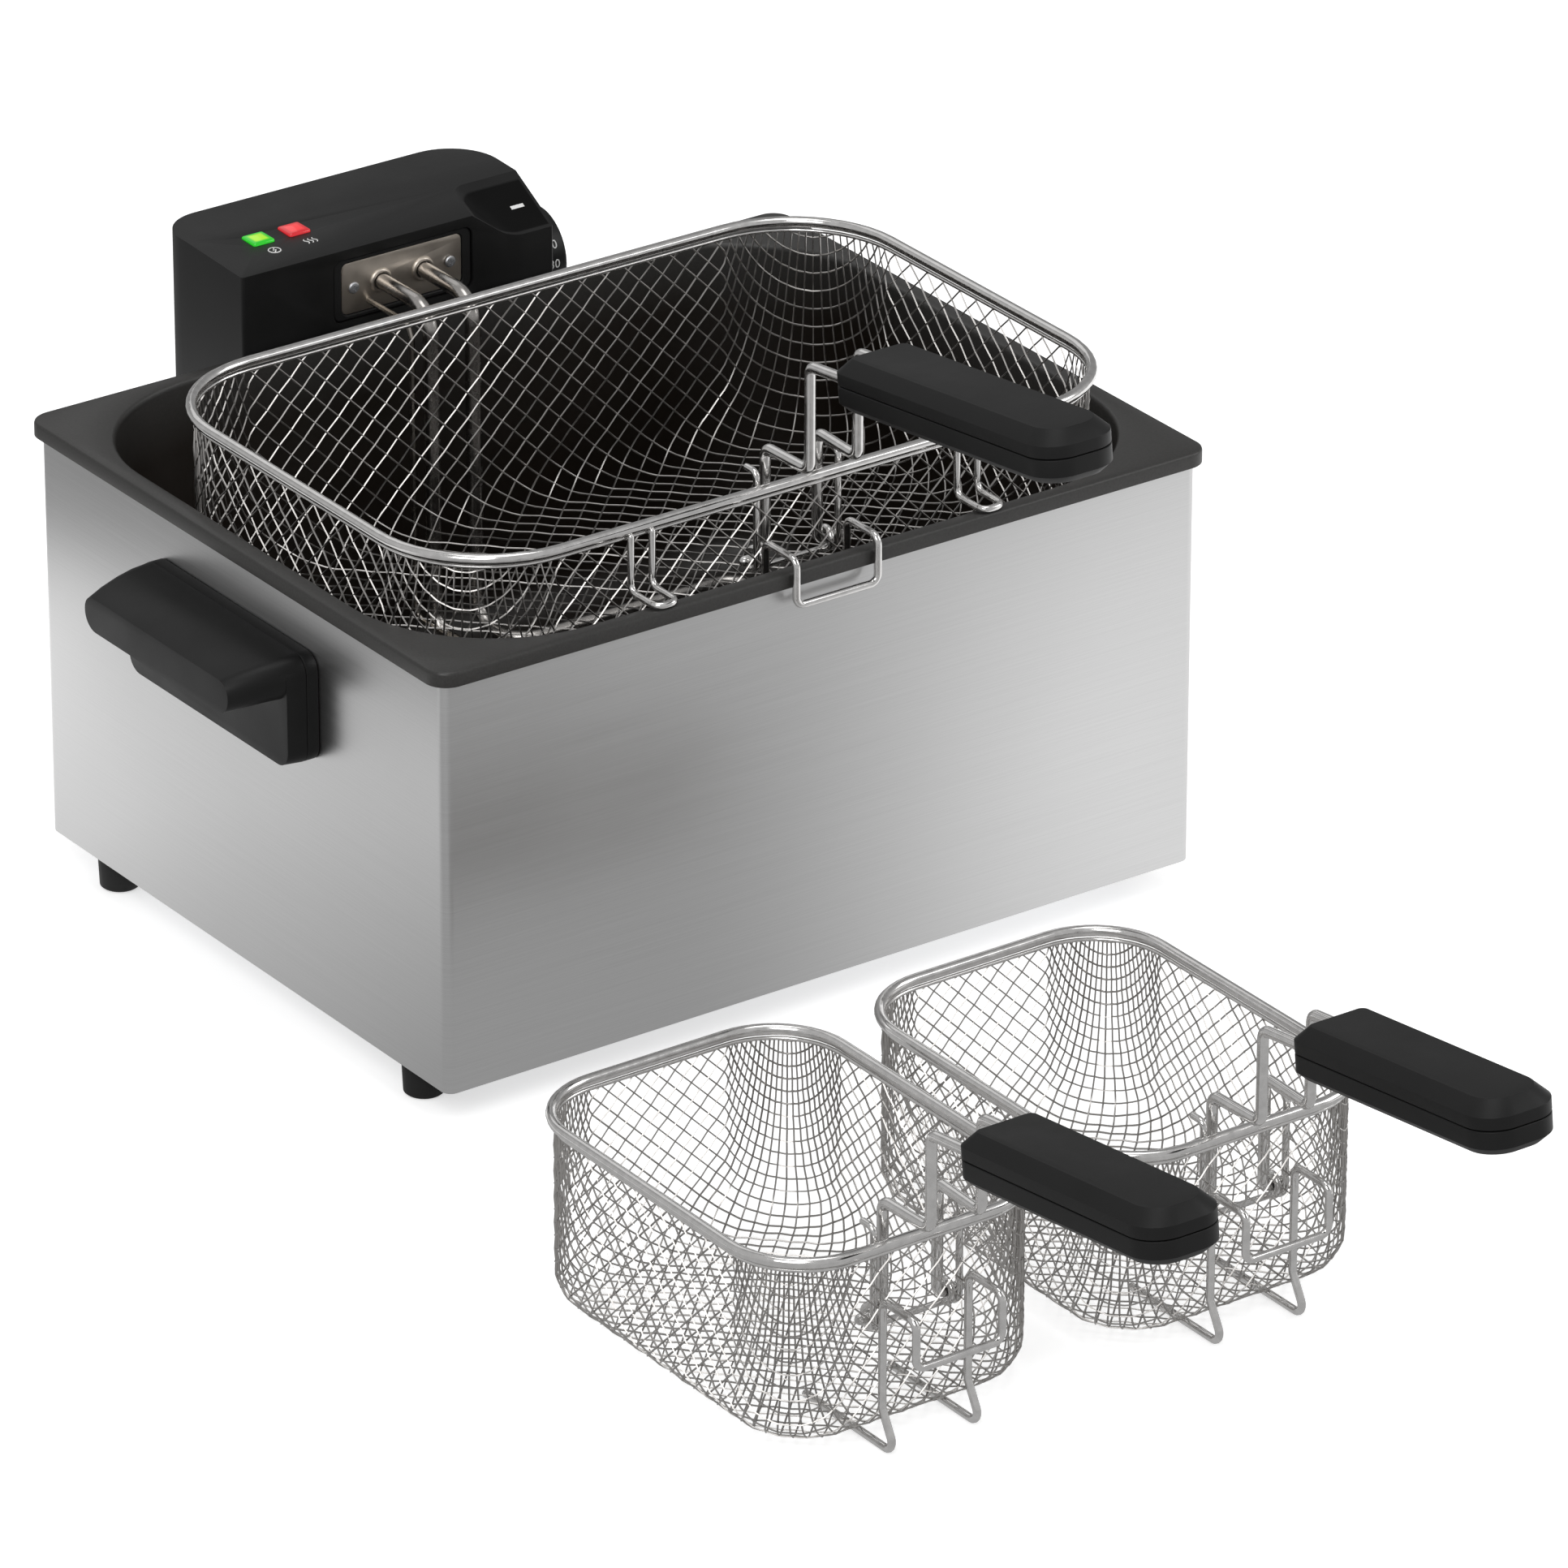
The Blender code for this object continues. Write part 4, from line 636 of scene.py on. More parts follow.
def coated_pot():
    """Satin coating: grey on the rim, darker and browner down in the pot, finely speckled."""
    material, tree, shader = bare_material("pot_coating")
    base = colours().coating
    place = node(tree, "ShaderNodeTexCoord").outputs["Object"]
    height = node(tree, "ShaderNodeSeparateXYZ", {0: place})
    down = ranged(tree, height.outputs["Z"], RIM_TOP - 0.030, RIM_TOP, 1.0, 0.0)
    speckle = noise_at(tree, place, 1100.0, 4.0)
    smears = noise_at(tree, place, 14.0, 5.0)
    depth = node(tree, "ShaderNodeMix", {"Factor": down, "A": (*base, 1),
                                         "B": (0.0075, 0.0048, 0.0028, 1)}, data_type="RGBA")
    tone = ranged(tree, speckle, 0.3, 0.7, 0.8, 1.2)
    tint = vector_maths(tree, "MULTIPLY", depth.outputs["Result"], tone)
    rough = ranged(tree, smears, 0.3, 0.7, 0.36, 0.46)
    tree.links.new(tint, shader.inputs["Base Color"])
    tree.links.new(rough, shader.inputs["Roughness"])
    bump(tree, shader, speckle, 0.15, 0.0001)
    return material


def lit_lens(name, colour, glow, middle_x, middle_y):
    """A lens lit from behind, brightest at its middle."""
    material, tree, shader = bare_material(name)
    place = node(tree, "ShaderNodeTexCoord").outputs["Object"]
    offset = vector_maths(tree, "SUBTRACT", place, (middle_x, middle_y, 0))
    parts = node(tree, "ShaderNodeSeparateXYZ", {0: offset})
    side_x = maths(tree, "ABSOLUTE", parts.outputs["X"])
    side_y = maths(tree, "ABSOLUTE", parts.outputs["Y"])
    square = maths(tree, "SMOOTH_MAX", side_x, side_y, 0.0012)
    near = ranged(tree, square, 0.0025, 0.0042, 1.0, 0.0, interpolation_type="SMOOTHSTEP")
    light = node(tree, "ShaderNodeMix", {"Factor": near, "A": (*colour, 1),
                                         "B": (*glow, 1)}, data_type="RGBA")
    shader.inputs["Base Color"].default_value = (*[0.25 * part for part in colour], 1)
    tree.links.new(light.outputs["Result"], shader.inputs["Emission Color"])
    shader.inputs["Emission Strength"].default_value = 0.85
    shader.inputs["Roughness"].default_value = 0.18
    shader.inputs["Coat Weight"].default_value = 0.5
    return material


def make_materials():
    grain_group()
    moulded_group()
    steel, plastic, wire = colours().steel, colours().plastic, colours().wire
    made = {
        "wrap": brushed("brushed_wrap", steel, 0.34, 5.0, 900.0, 0.10, 0.05),
        "zinc": brushed("zinc_sheet", (0.50, 0.51, 0.53), 0.42, 60.0, 60.0, 0.08),
        "plate": brushed("heater_plate_steel", (0.62, 0.56, 0.49), 0.36, 40.0, 40.0, 0.05),
        "element": bright_wire("element_sheath", (0.50, 0.48, 0.46), 0.20),
        "probe": bright_wire("probe_sheath", (0.45, 0.42, 0.38), 0.24),
        "wire": bright_wire("bright_wire", wire, 0.10),
        "weave": bright_wire("woven_wire", (0.46, 0.445, 0.43), 0.30),
        "pot": coated_pot(),
        # The casing material paints shade into the dish beside the dial.
        "casing": casing_with_painted_dish_shade("casing_plastic", [1.15 * part for part in plastic]),
        "scoop": moulded("handle_plastic", [0.80 * part for part in plastic], 0.42),
        "grip": moulded("grip_plastic", plastic, 0.46, 1300.0, 0.16),
        "dial": moulded("dial_plastic", [0.6 * part for part in plastic], 0.38),
        "seal": moulded("seal_silicone", (0.010, 0.010, 0.010), 0.55, 900.0),
        "rubber": moulded("foot_rubber", (0.014, 0.014, 0.014), 0.62, 700.0, 0.3),
        "print": moulded("white_print", (0.80, 0.80, 0.79), 0.50, 2500.0, 0.04),
        "insulator": moulded("insulator", (0.66, 0.64, 0.58), 0.40, 600.0, 0.1),
        "brass": brushed("turned_brass", (0.70, 0.53, 0.25), 0.30, 300.0, 300.0, 0.05),
        "red_button": moulded("red_button", (0.45, 0.02, 0.02), 0.35, 900.0, 0.05),
    }
    return made


MATERIALS = {}


# ---------------------------------------------------------------- operators
class FRYER_OT_stage(bpy.types.Operator):
    """Floor, soft studio light and the camera"""

    bl_idname = "fryer.stage"
    bl_label = "Stage"

    def execute(self, context):
        scene = context.scene
        scene.view_settings.view_transform = "Standard"
        self.floor()
        self.world(scene)
        self.lights()
        self.camera(scene)
        return {"FINISHED"}

    def floor(self):
        deselect()
        bpy.ops.mesh.primitive_plane_add(size=12, location=(0, 1.5, -0.0004))
        floor = settle(bpy.context.object)
        floor.name = floor.data.name = "floor"
        material, tree, shader = bare_material("pale_floor")
        shader.inputs["Roughness"].default_value = 0.9
        shader.inputs["Specular IOR Level"].default_value = 0.1
        shader.inputs["Base Color"].default_value = (0.86, 0.86, 0.86, 1)
        path = node(tree, "ShaderNodeLightPath")
        seen = maths(tree, "MAXIMUM", path.outputs["Is Camera Ray"],
                     path.outputs["Is Transmission Ray"])
        lift = maths(tree, "MULTIPLY", seen, 0.55)
        shader.inputs["Emission Color"].default_value = (1, 1, 1, 1)
        tree.links.new(lift, shader.inputs["Emission Strength"])
        # Painted reflection: a glow that only glossy rays see, which the brushed metal mirrors: a
        # sweep that is dim before the near corner and bright towards both far ends.
        place = node(tree, "ShaderNodeTexCoord").outputs["Object"]
        along = vector_maths(tree, "DOT_PRODUCT", place, (1.0, 0.683, 0.0))
        painted_reflection_sweep = ranged(tree, along, -0.04, 0.24, 0.48, 1.18, interpolation_type="SMOOTHSTEP")
        parts = node(tree, "ShaderNodeSeparateXYZ", {0: place})
        left = ranged(tree, parts.outputs["X"], -0.10, -0.18, 0.0, 1.0)
        back = ranged(tree, parts.outputs["Y"], 0.08, 0.36, 0.0, 0.42)
        extra = maths(tree, "MULTIPLY", left, back)
        both = maths(tree, "ADD", painted_reflection_sweep, extra)
        far = ranged(tree, parts.outputs["Y"], 0.62, 0.80, 1.0, 0.30)
        total = maths(tree, "MULTIPLY", both, far)
        # Painted reflection: this emission is shown to glossy rays only.
        glow = node(tree, "ShaderNodeEmission", {"Strength": total})
        mix = node(tree, "ShaderNodeMixShader", {0: path.outputs["Is Glossy Ray"],
                                                 1: shader.outputs[0], 2: glow.outputs[0]})
        tree.links.new(mix.outputs[0], tree.nodes["Material Output"].inputs["Surface"])
        floor.data.materials.append(material)

    def world(self, scene):
        world = bpy.data.worlds.new("studio")
        scene.world = world
        world.use_nodes = True
        tree = world.node_tree
        back = tree.nodes["Background"]
        place = node(tree, "ShaderNodeTexCoord")
        behind = vector_maths(tree, "DOT_PRODUCT", place.outputs["Generated"],
                              (0.507, 0.740, 0.444))
        shade = ranged(tree, behind, 0.35, 0.95, 0.52, 0.30, interpolation_type="SMOOTHSTEP")
        path = node(tree, "ShaderNodeLightPath")
        plain = maths(tree, "MAXIMUM", path.outputs["Is Camera Ray"],
                      path.outputs["Is Transmission Ray"])
        mix = node(tree, "ShaderNodeMix", {"Factor": plain,
                                           "A": shade, "B": 1.0},
                   data_type="FLOAT")
        back.inputs["Color"].default_value = (1, 1, 1, 1)
        tree.links.new(mix.outputs["Result"], back.inputs["Strength"])

    def lights(self):
        for name, place, side, power in LIGHTS:
            light = bpy.data.lights.new(name, "AREA")
            light.size = side
            light.energy = power
            lamp = bpy.data.objects.new(name, light)
            bpy.context.scene.collection.objects.link(lamp)
            lamp.location = place
            lamp.rotation_euler = (LIGHTS_AIM - Vector(place)).to_track_quat("-Z", "Y").to_euler()

    def camera(self, scene):
        data = bpy.data.cameras.new("camera")
        data.sensor_width = 36
        data.lens = CAMERA_LENS
        data.shift_x, data.shift_y = CAMERA_SHIFT
        data.clip_end = 50
        camera = bpy.data.objects.new("camera", data)
        scene.collection.objects.link(camera)
        side, back = CAMERA_FROM_MIDDLE
        camera.location = (MIDDLE.x + side, MIDDLE.y + back, CAMERA_HEIGHT)
        camera.rotation_euler = [math.radians(turn) for turn in CAMERA_TURN]
        scene.camera = camera


class FRYER_OT_housing(bpy.types.Operator):
    """The brushed steel wrap with its turned-in bottom edge, and the rubber feet"""

    bl_idname = "fryer.housing"
    bl_label = "Housing"

    def execute(self, context):
        self.wrap()
        for end in ("front", "back"):
            for side in ("left", "right"):
                self.foot(f"foot_{end}_{side}")
        return {"FINISHED"}

    def wrap(self):
        width, depth = (WRAP_HIGH - WRAP_LOW).xy
        corner = sizes().wrap_corner
        centre = tuple(MIDDLE.xy)
        wrap = stack("housing_skin", [(width, depth, corner, WRAP_LOW.z, centre),
                                      (width, depth, corner, WRAP_HIGH.z, centre)],
                     6, False, False)
        edit(wrap)
        lip = 0.008
        pick("edges", lambda edge: all(vert.co.z < WRAP_LOW.z + 1e-5 for vert in edge.verts)
             and edge.calc_length() > 0.1)
        bpy.ops.mesh.extrude_edges_move()
        bpy.ops.transform.resize(value=(1 - 2 * lip / width, 1 - 2 * lip / depth, 1),
                                 center_override=(*centre, WRAP_LOW.z))
        bpy.ops.object.mode_set(mode="OBJECT")
        thicken(wrap, sizes().wrap_sheet)
        soften(wrap, 0.00025, 2, 50)
        hand_over(wrap, "housing", "steel_wrap", MATERIALS["wrap"], "housing_wrap")

    def foot(self, name):
        low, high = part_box(name)
        centre = tuple(((low + high) / 2).xy)
        wide = high.x - low.x
        foot = stack(f"{name}_pad", rounds((
            (wide - 0.0035, low.z), (wide - 0.0014, low.z + 0.0009),
            (wide - 0.0002, WRAP_LOW.z - 0.0012), (wide - 0.0014, WRAP_LOW.z - 0.0003)),
            centre), 8)
        soften(foot, 0.0003, 2, 30)
        hand_over(foot, "housing", "feet", MATERIALS["rubber"], name)


class FRYER_OT_side_handles(bpy.types.Operator):
    """The two carrying handles and their backing plates"""

    bl_idname = "fryer.side_handles"
    bl_label = "Side handles"

    def execute(self, context):
        low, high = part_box("side_handle_plate_right")
        length, tall = high.y - low.y, high.z - low.z
        seat = low.x
        quarter = (0, QUARTER, 0)

        def section(reach, wide, bottom, top, corner):
            """A ring across the handle, drawn flat with its up along -X."""
            return (top - bottom, wide, corner, reach, (-(top + bottom) / 2, 0))

        def laid(piece):
            return moved(piece, (seat, MIDDLE.y, low.z), quarter)

        plate = laid(stack("side_handle_back_right", [
            section(0, length, 0, tall, 0.008),
            section(0.0058, length, 0, tall, 0.008)]))
        soften(plate, 0.0007, 3)
        body = laid(stack("side_handle_right", [
            section(0.0062, length, 0, tall, 0.008),
            section(0.0150, length - 0.0022, 0.0006, tall - 0.0009, 0.0076)]))
        lip = laid(stack("lip", [
            section(reach, length - narrow, bottom, tall - drop,
                    (below, above, above, below))
            for reach, narrow, bottom, drop, below, above in (
                (0.0070, 0.0006, 0.0300, 0.0002, 0.0090, 0.0078),
                (0.0150, 0.0026, 0.0300, 0.0003, 0.0090, 0.0076),
                (0.0230, 0.0056, 0.0298, 0.0012, 0.0090, 0.0074),
                (0.0320, 0.0096, 0.0292, 0.0030, 0.0085, 0.0070),
                (0.0398, 0.0140, 0.0285, 0.0052, 0.0080, 0.0066))]))
        boolean(body, lip, "UNION")
        soften(body, 0.0010, 4, 32)
        for piece, kind in ((plate, "plate"), (body, "grip")):
            name = "side_handle_back_left" if kind == "plate" else "side_handle_left"
            left = mirrored(piece, name)
            smooth(left, 32)
            for own, side in ((piece, "right"), (left, "left")):
                hand_over(own, "housing", "side_handles", MATERIALS["scoop"],
                          f"side_handle_{kind}_{side}")
        return {"FINISHED"}


class FRYER_OT_pot(bpy.types.Operator):
    """The coated pot with its flat rim, soft lip and rounded floor"""

    bl_idname = "fryer.pot"
    bl_label = "Oil pot"

    def execute(self, context):
        wide, deep = (POT_HIGH - POT_LOW).xy
        centre = tuple(MIDDLE.xy)
        rim, corner = sizes().rim_corner, sizes().pot_corner
        open_wide, open_deep = wide - 0.0182, deep - 0.0146
        top = RIM_TOP
        floor = POT_LOW.z + sizes().pot_sheet
        rings = [(wide - cut, deep - cut, rim - cut / 2, top - drop, centre) for cut, drop in
                 ((0, 0.0065), (0, 0.0014), (0.0006, 0.0005), (0.0020, 0))]
        rings += [(open_wide + grow, open_deep + grow, corner, top - drop, centre)
                  for grow, drop in ((0.0026, 0), (0.0014, 0.0003), (0.0005, 0.0010), (0, 0.0024))]
        draft, foot = 0.0072, 0.018
        for step in range(7):
            turn = math.radians(15 * step)
            inset = draft + foot * (1 - math.cos(turn))
            rings.append((open_wide - 2 * inset, open_deep - 2 * inset, corner - inset,
                          floor + foot * (1 - math.sin(turn)), centre))
        pot = stack("pot_liner", rings, 16, False, True)
        edit(pot)
        face_outward()
        lowest = min(pot.data.polygons, key=lambda face: face.center.z)
        thicken(pot, sizes().pot_sheet, inward=lowest.normal.z > 0)
        smooth(pot, 40)
        hand_over(pot, "pot", "enamel", MATERIALS["pot"], "oil_pot")
        return {"FINISHED"}


class FRYER_OT_control_head(bpy.types.Operator):
    """The control head's casing with its dished side, window and printed marks"""

    bl_idname = "fryer.control_head"
    bl_label = "Control head"

    def execute(self, context):
        casing = self.shell()
        self.openings(casing)
        soften(casing, sizes().plastic_edge, 3, 20)
        hand_over(casing, "head", "casing", MATERIALS["casing"], "head_casing")
        self.marks()
        return {"FINISHED"}

    def shell(self):
        low, high = HEAD_LOW, HEAD_HIGH
        centre = tuple(((low + high) / 2).xy)
        wide, deep = (high - low).xy
        radii = (0.024, 0.020, 0.0015, 0.0015)
        casing = stack("casing_shell", [(wide, deep, radii, low.z, centre),
                                        (wide, deep, radii, high.z, centre)], 12)
        crease = low.y + 0.044
        edit(casing)
        bpy.ops.mesh.select_all(action="SELECT")
        bpy.ops.mesh.bisect(plane_co=(0, crease, 0), plane_no=(0, 1, 0))
        pick("verts", lambda vert: vert.co.z > high.z - 1e-5 and vert.co.y < low.y + 0.002)
        bpy.ops.transform.translate(value=(0, 0, -0.0015))
        bpy.ops.object.mode_set(mode="OBJECT")
        boolean(casing, self.scoop())
        edit(casing)
        pick("faces", lambda face: face.normal.z < -0.9 and middle(face).z < low.z + 1e-4)
        bpy.ops.mesh.delete(type="ONLY_FACE")
        bpy.ops.object.mode_set(mode="OBJECT")
        return thicken(casing, 0.0028)

    def scoop(self):
        """The dish beside the dial, as a tapered block to cut away."""
        low, high = HEAD_LOW, HEAD_HIGH
        cutter = block("scoop", (high.x - 0.0443, low.y - 0.010, high.z - 0.0165),
                       (high.x + 0.010, low.y + 0.032, high.z + 0.006))
        left, right = high.x - 0.0443, high.x + 0.010
        fall = 0.0165 / 0.030
        run = 0.022 / 0.0165
        for vert in cutter.data.vertices:
            from_front = vert.co.y - low.y
            floor = high.z - 0.0165 + fall * from_front
            if vert.co.z < high.z:
                vert.co.z = floor
            if vert.co.x < right - 0.01:
                lean = 0.0098 / 0.030 * from_front
                vert.co.x = left + lean + run * (high.z - vert.co.z)
        edit(cutter)
        pick("edges", lambda edge: all(vert.co.x < right - 0.005 for vert in edge.verts)
             and abs(edge.verts[0].co.y - edge.verts[1].co.y) > 0.02
             and middle(edge).z < high.z)
        bpy.ops.mesh.bevel(offset=0.006, segments=6, clamp_overlap=True)
        pick("edges", lambda edge: all(vert.co.y > low.y + 0.02 for vert in edge.verts)
             and abs(edge.verts[0].co.z - edge.verts[1].co.z) > 0.004)
        bpy.ops.mesh.bevel(offset=0.004, segments=4, clamp_overlap=True)
        face_outward()
        return cutter

    def openings(self, casing):
        seal_low, seal_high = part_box("element_seal")
        middle_x = (seal_low.x + seal_high.x) / 2
        middle_z = (seal_low.z + seal_high.z) / 2
        wide, tall = seal_high.x - seal_low.x, seal_high.z - seal_low.z
        window = stack("window", [(wide + 0.0006, tall + 0.0006, 0.0043, -0.006),
                                  (wide + 0.0006, tall + 0.0006, 0.0043, 0.006)])
        moved(window, (middle_x, HEAD_LOW.y + 0.001, middle_z), (QUARTER, 0, 0))
        boolean(casing, window)
        for name in ("green_light", "red_light"):
            low, high, place = box_of(name)
            side = high.x - low.x - 0.0024 + 0.0004
            hole = stack("hole", [(side, side, 0.0012, HEAD_HIGH.z - 0.008, tuple(place.xy)),
                                  (side, side, 0.0012, HEAD_HIGH.z + 0.004, tuple(place.xy))], 4)
            boolean(casing, hole)
        rounds = (("dial_shaft", "X", 0.0034), ("reset_button", "Y", 0.0039),
                  ("cord_gland", "Y", 0.0058))
        for name, axis, radius in rounds:
            low, high, place = box_of(name)
            turn = (0, QUARTER, 0) if axis == "X" else (QUARTER, 0, 0)
            deselect()
            bpy.ops.mesh.primitive_cylinder_add(radius=radius, depth=0.03, vertices=32,
                                                location=place, rotation=turn)
            boolean(casing, settle(bpy.context.object))
        low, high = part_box("head_bracket")
        boolean(casing, block("notch", (low.x - 0.0006, HEAD_LOW.y - 0.002,
                                        HEAD_LOW.z - 0.004),
                              (high.x + 0.0006, high.y + 0.0006, low.z + 0.0303)))

    def marks(self):
        """The dial's index line and the signs beside the lights."""
        index = block("index_line", (HEAD_HIGH.x - 0.0136, HEAD_LOW.y + 0.0120,
                                     HEAD_HIGH.z - 0.0165),
                      (HEAD_HIGH.x - 0.0070, HEAD_LOW.y + 0.0136, HEAD_HIGH.z - 0.0164))
        for vert in index.data.vertices:
            vert.co.z += 0.55 * (vert.co.y - HEAD_LOW.y)
        soften(index, 0.00003, 2)
        hand_over(index, "head", "casing", MATERIALS["print"])
        low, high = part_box("green_light")
        sign_y = (low.y + high.y) / 2 - 0.0129
        top = HEAD_HIGH.z - 0.0010
        x = (low.x + high.x) / 2
        ring_path = [Vector((x + 0.0027 * math.cos(turn), sign_y + 0.0027 * math.sin(turn), top))
                     for turn in (math.radians(15 * step) for step in range(24))]
        ready = wires("ready_sign", [ring_path], 0.00030, closed=True, resolution=1)
        bolt = wires("bolt", [[(x + 0.0007, sign_y + 0.0017, top), (x - 0.0008, sign_y, top),
                               (x + 0.0008, sign_y, top), (x - 0.0007, sign_y - 0.0017, top)]],
                     0.00030, resolution=1)
        join(ready, bolt)
        hand_over(ready, "head", "casing", MATERIALS["print"])
        low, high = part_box("red_light")
        x = (low.x + high.x) / 2
        waves = []
        for shift in (-0.0021, 0.0, 0.0021):
            waves.append([(x + shift + 0.0006 * math.sin(0.785 * step), sign_y - 0.0022
                           + 0.0044 * step / 8, top) for step in range(9)])
        heat = wires("heat_sign", waves, 0.00032, resolution=1)
        hand_over(heat, "head", "casing", MATERIALS["print"])


class FRYER_OT_lights(bpy.types.Operator):
    """The green and red square lights"""

    bl_idname = "fryer.lights"
    bl_label = "Lights"

    def execute(self, context):
        glows = {"green_light": (colours().green, (0.50, 0.90, 0.01)),
                 "red_light": (colours().red, (1.0, 0.045, 0.05))}
        for name, (colour, glow) in glows.items():
            low, high, place = box_of(name)
            wide = high.x - low.x
            side = wide - 0.0024
            lens = stack(f"{name}_lens", [
                (across, across, corner, z, tuple(place.xy)) for across, corner, z in (
                    (wide, 0.0010, low.z), (wide, 0.0010, low.z + 0.0017),
                    (side, 0.0010, low.z + 0.0019), (side, 0.0010, high.z - 0.0007),
                    (side - 0.0006, 0.0009, high.z - 0.0002), (side - 0.0018, 0.0006, high.z))],
                4)
            smooth(lens, 50)
            material = lit_lens(f"{name}_lens", colour, glow, place.x, place.y)
            slot = "green_lens" if name == "green_light" else "red_lens"
            hand_over(lens, "head", slot, material, name)
        return {"FINISHED"}


class FRYER_OT_dial(bpy.types.Operator):
    """The thermostat's dial with numbers round its side"""

    bl_idname = "fryer.dial"
    bl_label = "Dial"

    def execute(self, context):
        low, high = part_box("dial")
        radius = (high.z - low.z) / 2
        axis = Vector(JOINTS["dial_turn"]["pos_m"])
        across = (0, QUARTER, 0)
        thick = high.x - low.x
        diameters = [(2 * radius - 0.0016, 0), (2 * radius, 0.0008),
                     (2 * radius, thick - 0.0022), (2 * radius - 0.0012, thick - 0.0008),
                     (2 * radius - 0.0044, thick), (2 * radius - 0.012, thick),
                     (2 * radius - 0.013, thick - 0.0006)]
        knob = moved(stack("dial_knob", rounds(diameters), 16), (low.x, axis.y, axis.z), across)
        smooth(knob, 30)
        hand_over(knob, "dial", "dial", MATERIALS["dial"], "dial")
        self.numbers(low.x + 0.48 * thick, axis, radius)
        return {"FINISHED"}

    def numbers(self, x, axis, radius):
        """Numbers laid on the dial's side. Each reads along the axis."""
        pieces = []
        for place, words in enumerate(("0", "60", "90", "110", "130", "150", "170", "190")):
            deselect()
            bpy.ops.object.text_add()
            text = bpy.context.object
            text.data.body = words
            text.data.size = 0.0056
            text.data.align_x = "CENTER"
            text.data.align_y = "CENTER"
            text.data.extrude = 0.00006
            text.data.resolution_u = 3
            bpy.ops.object.convert(target="MESH")
            number = bpy.context.object
            start = math.radians(80 + 24 * place)
            for vert in number.data.vertices:
                turn = start - vert.co.y / radius
                reach = radius + 0.00005 + vert.co.z
                vert.co = (x + vert.co.x, axis.y + reach * math.cos(turn),
                           axis.z + reach * math.sin(turn))
            pieces.append(number)
        numbers = join(*pieces)
        numbers.name = numbers.data.name = "dial_numbers"
        hand_over(numbers, "dial", "dial", MATERIALS["print"])


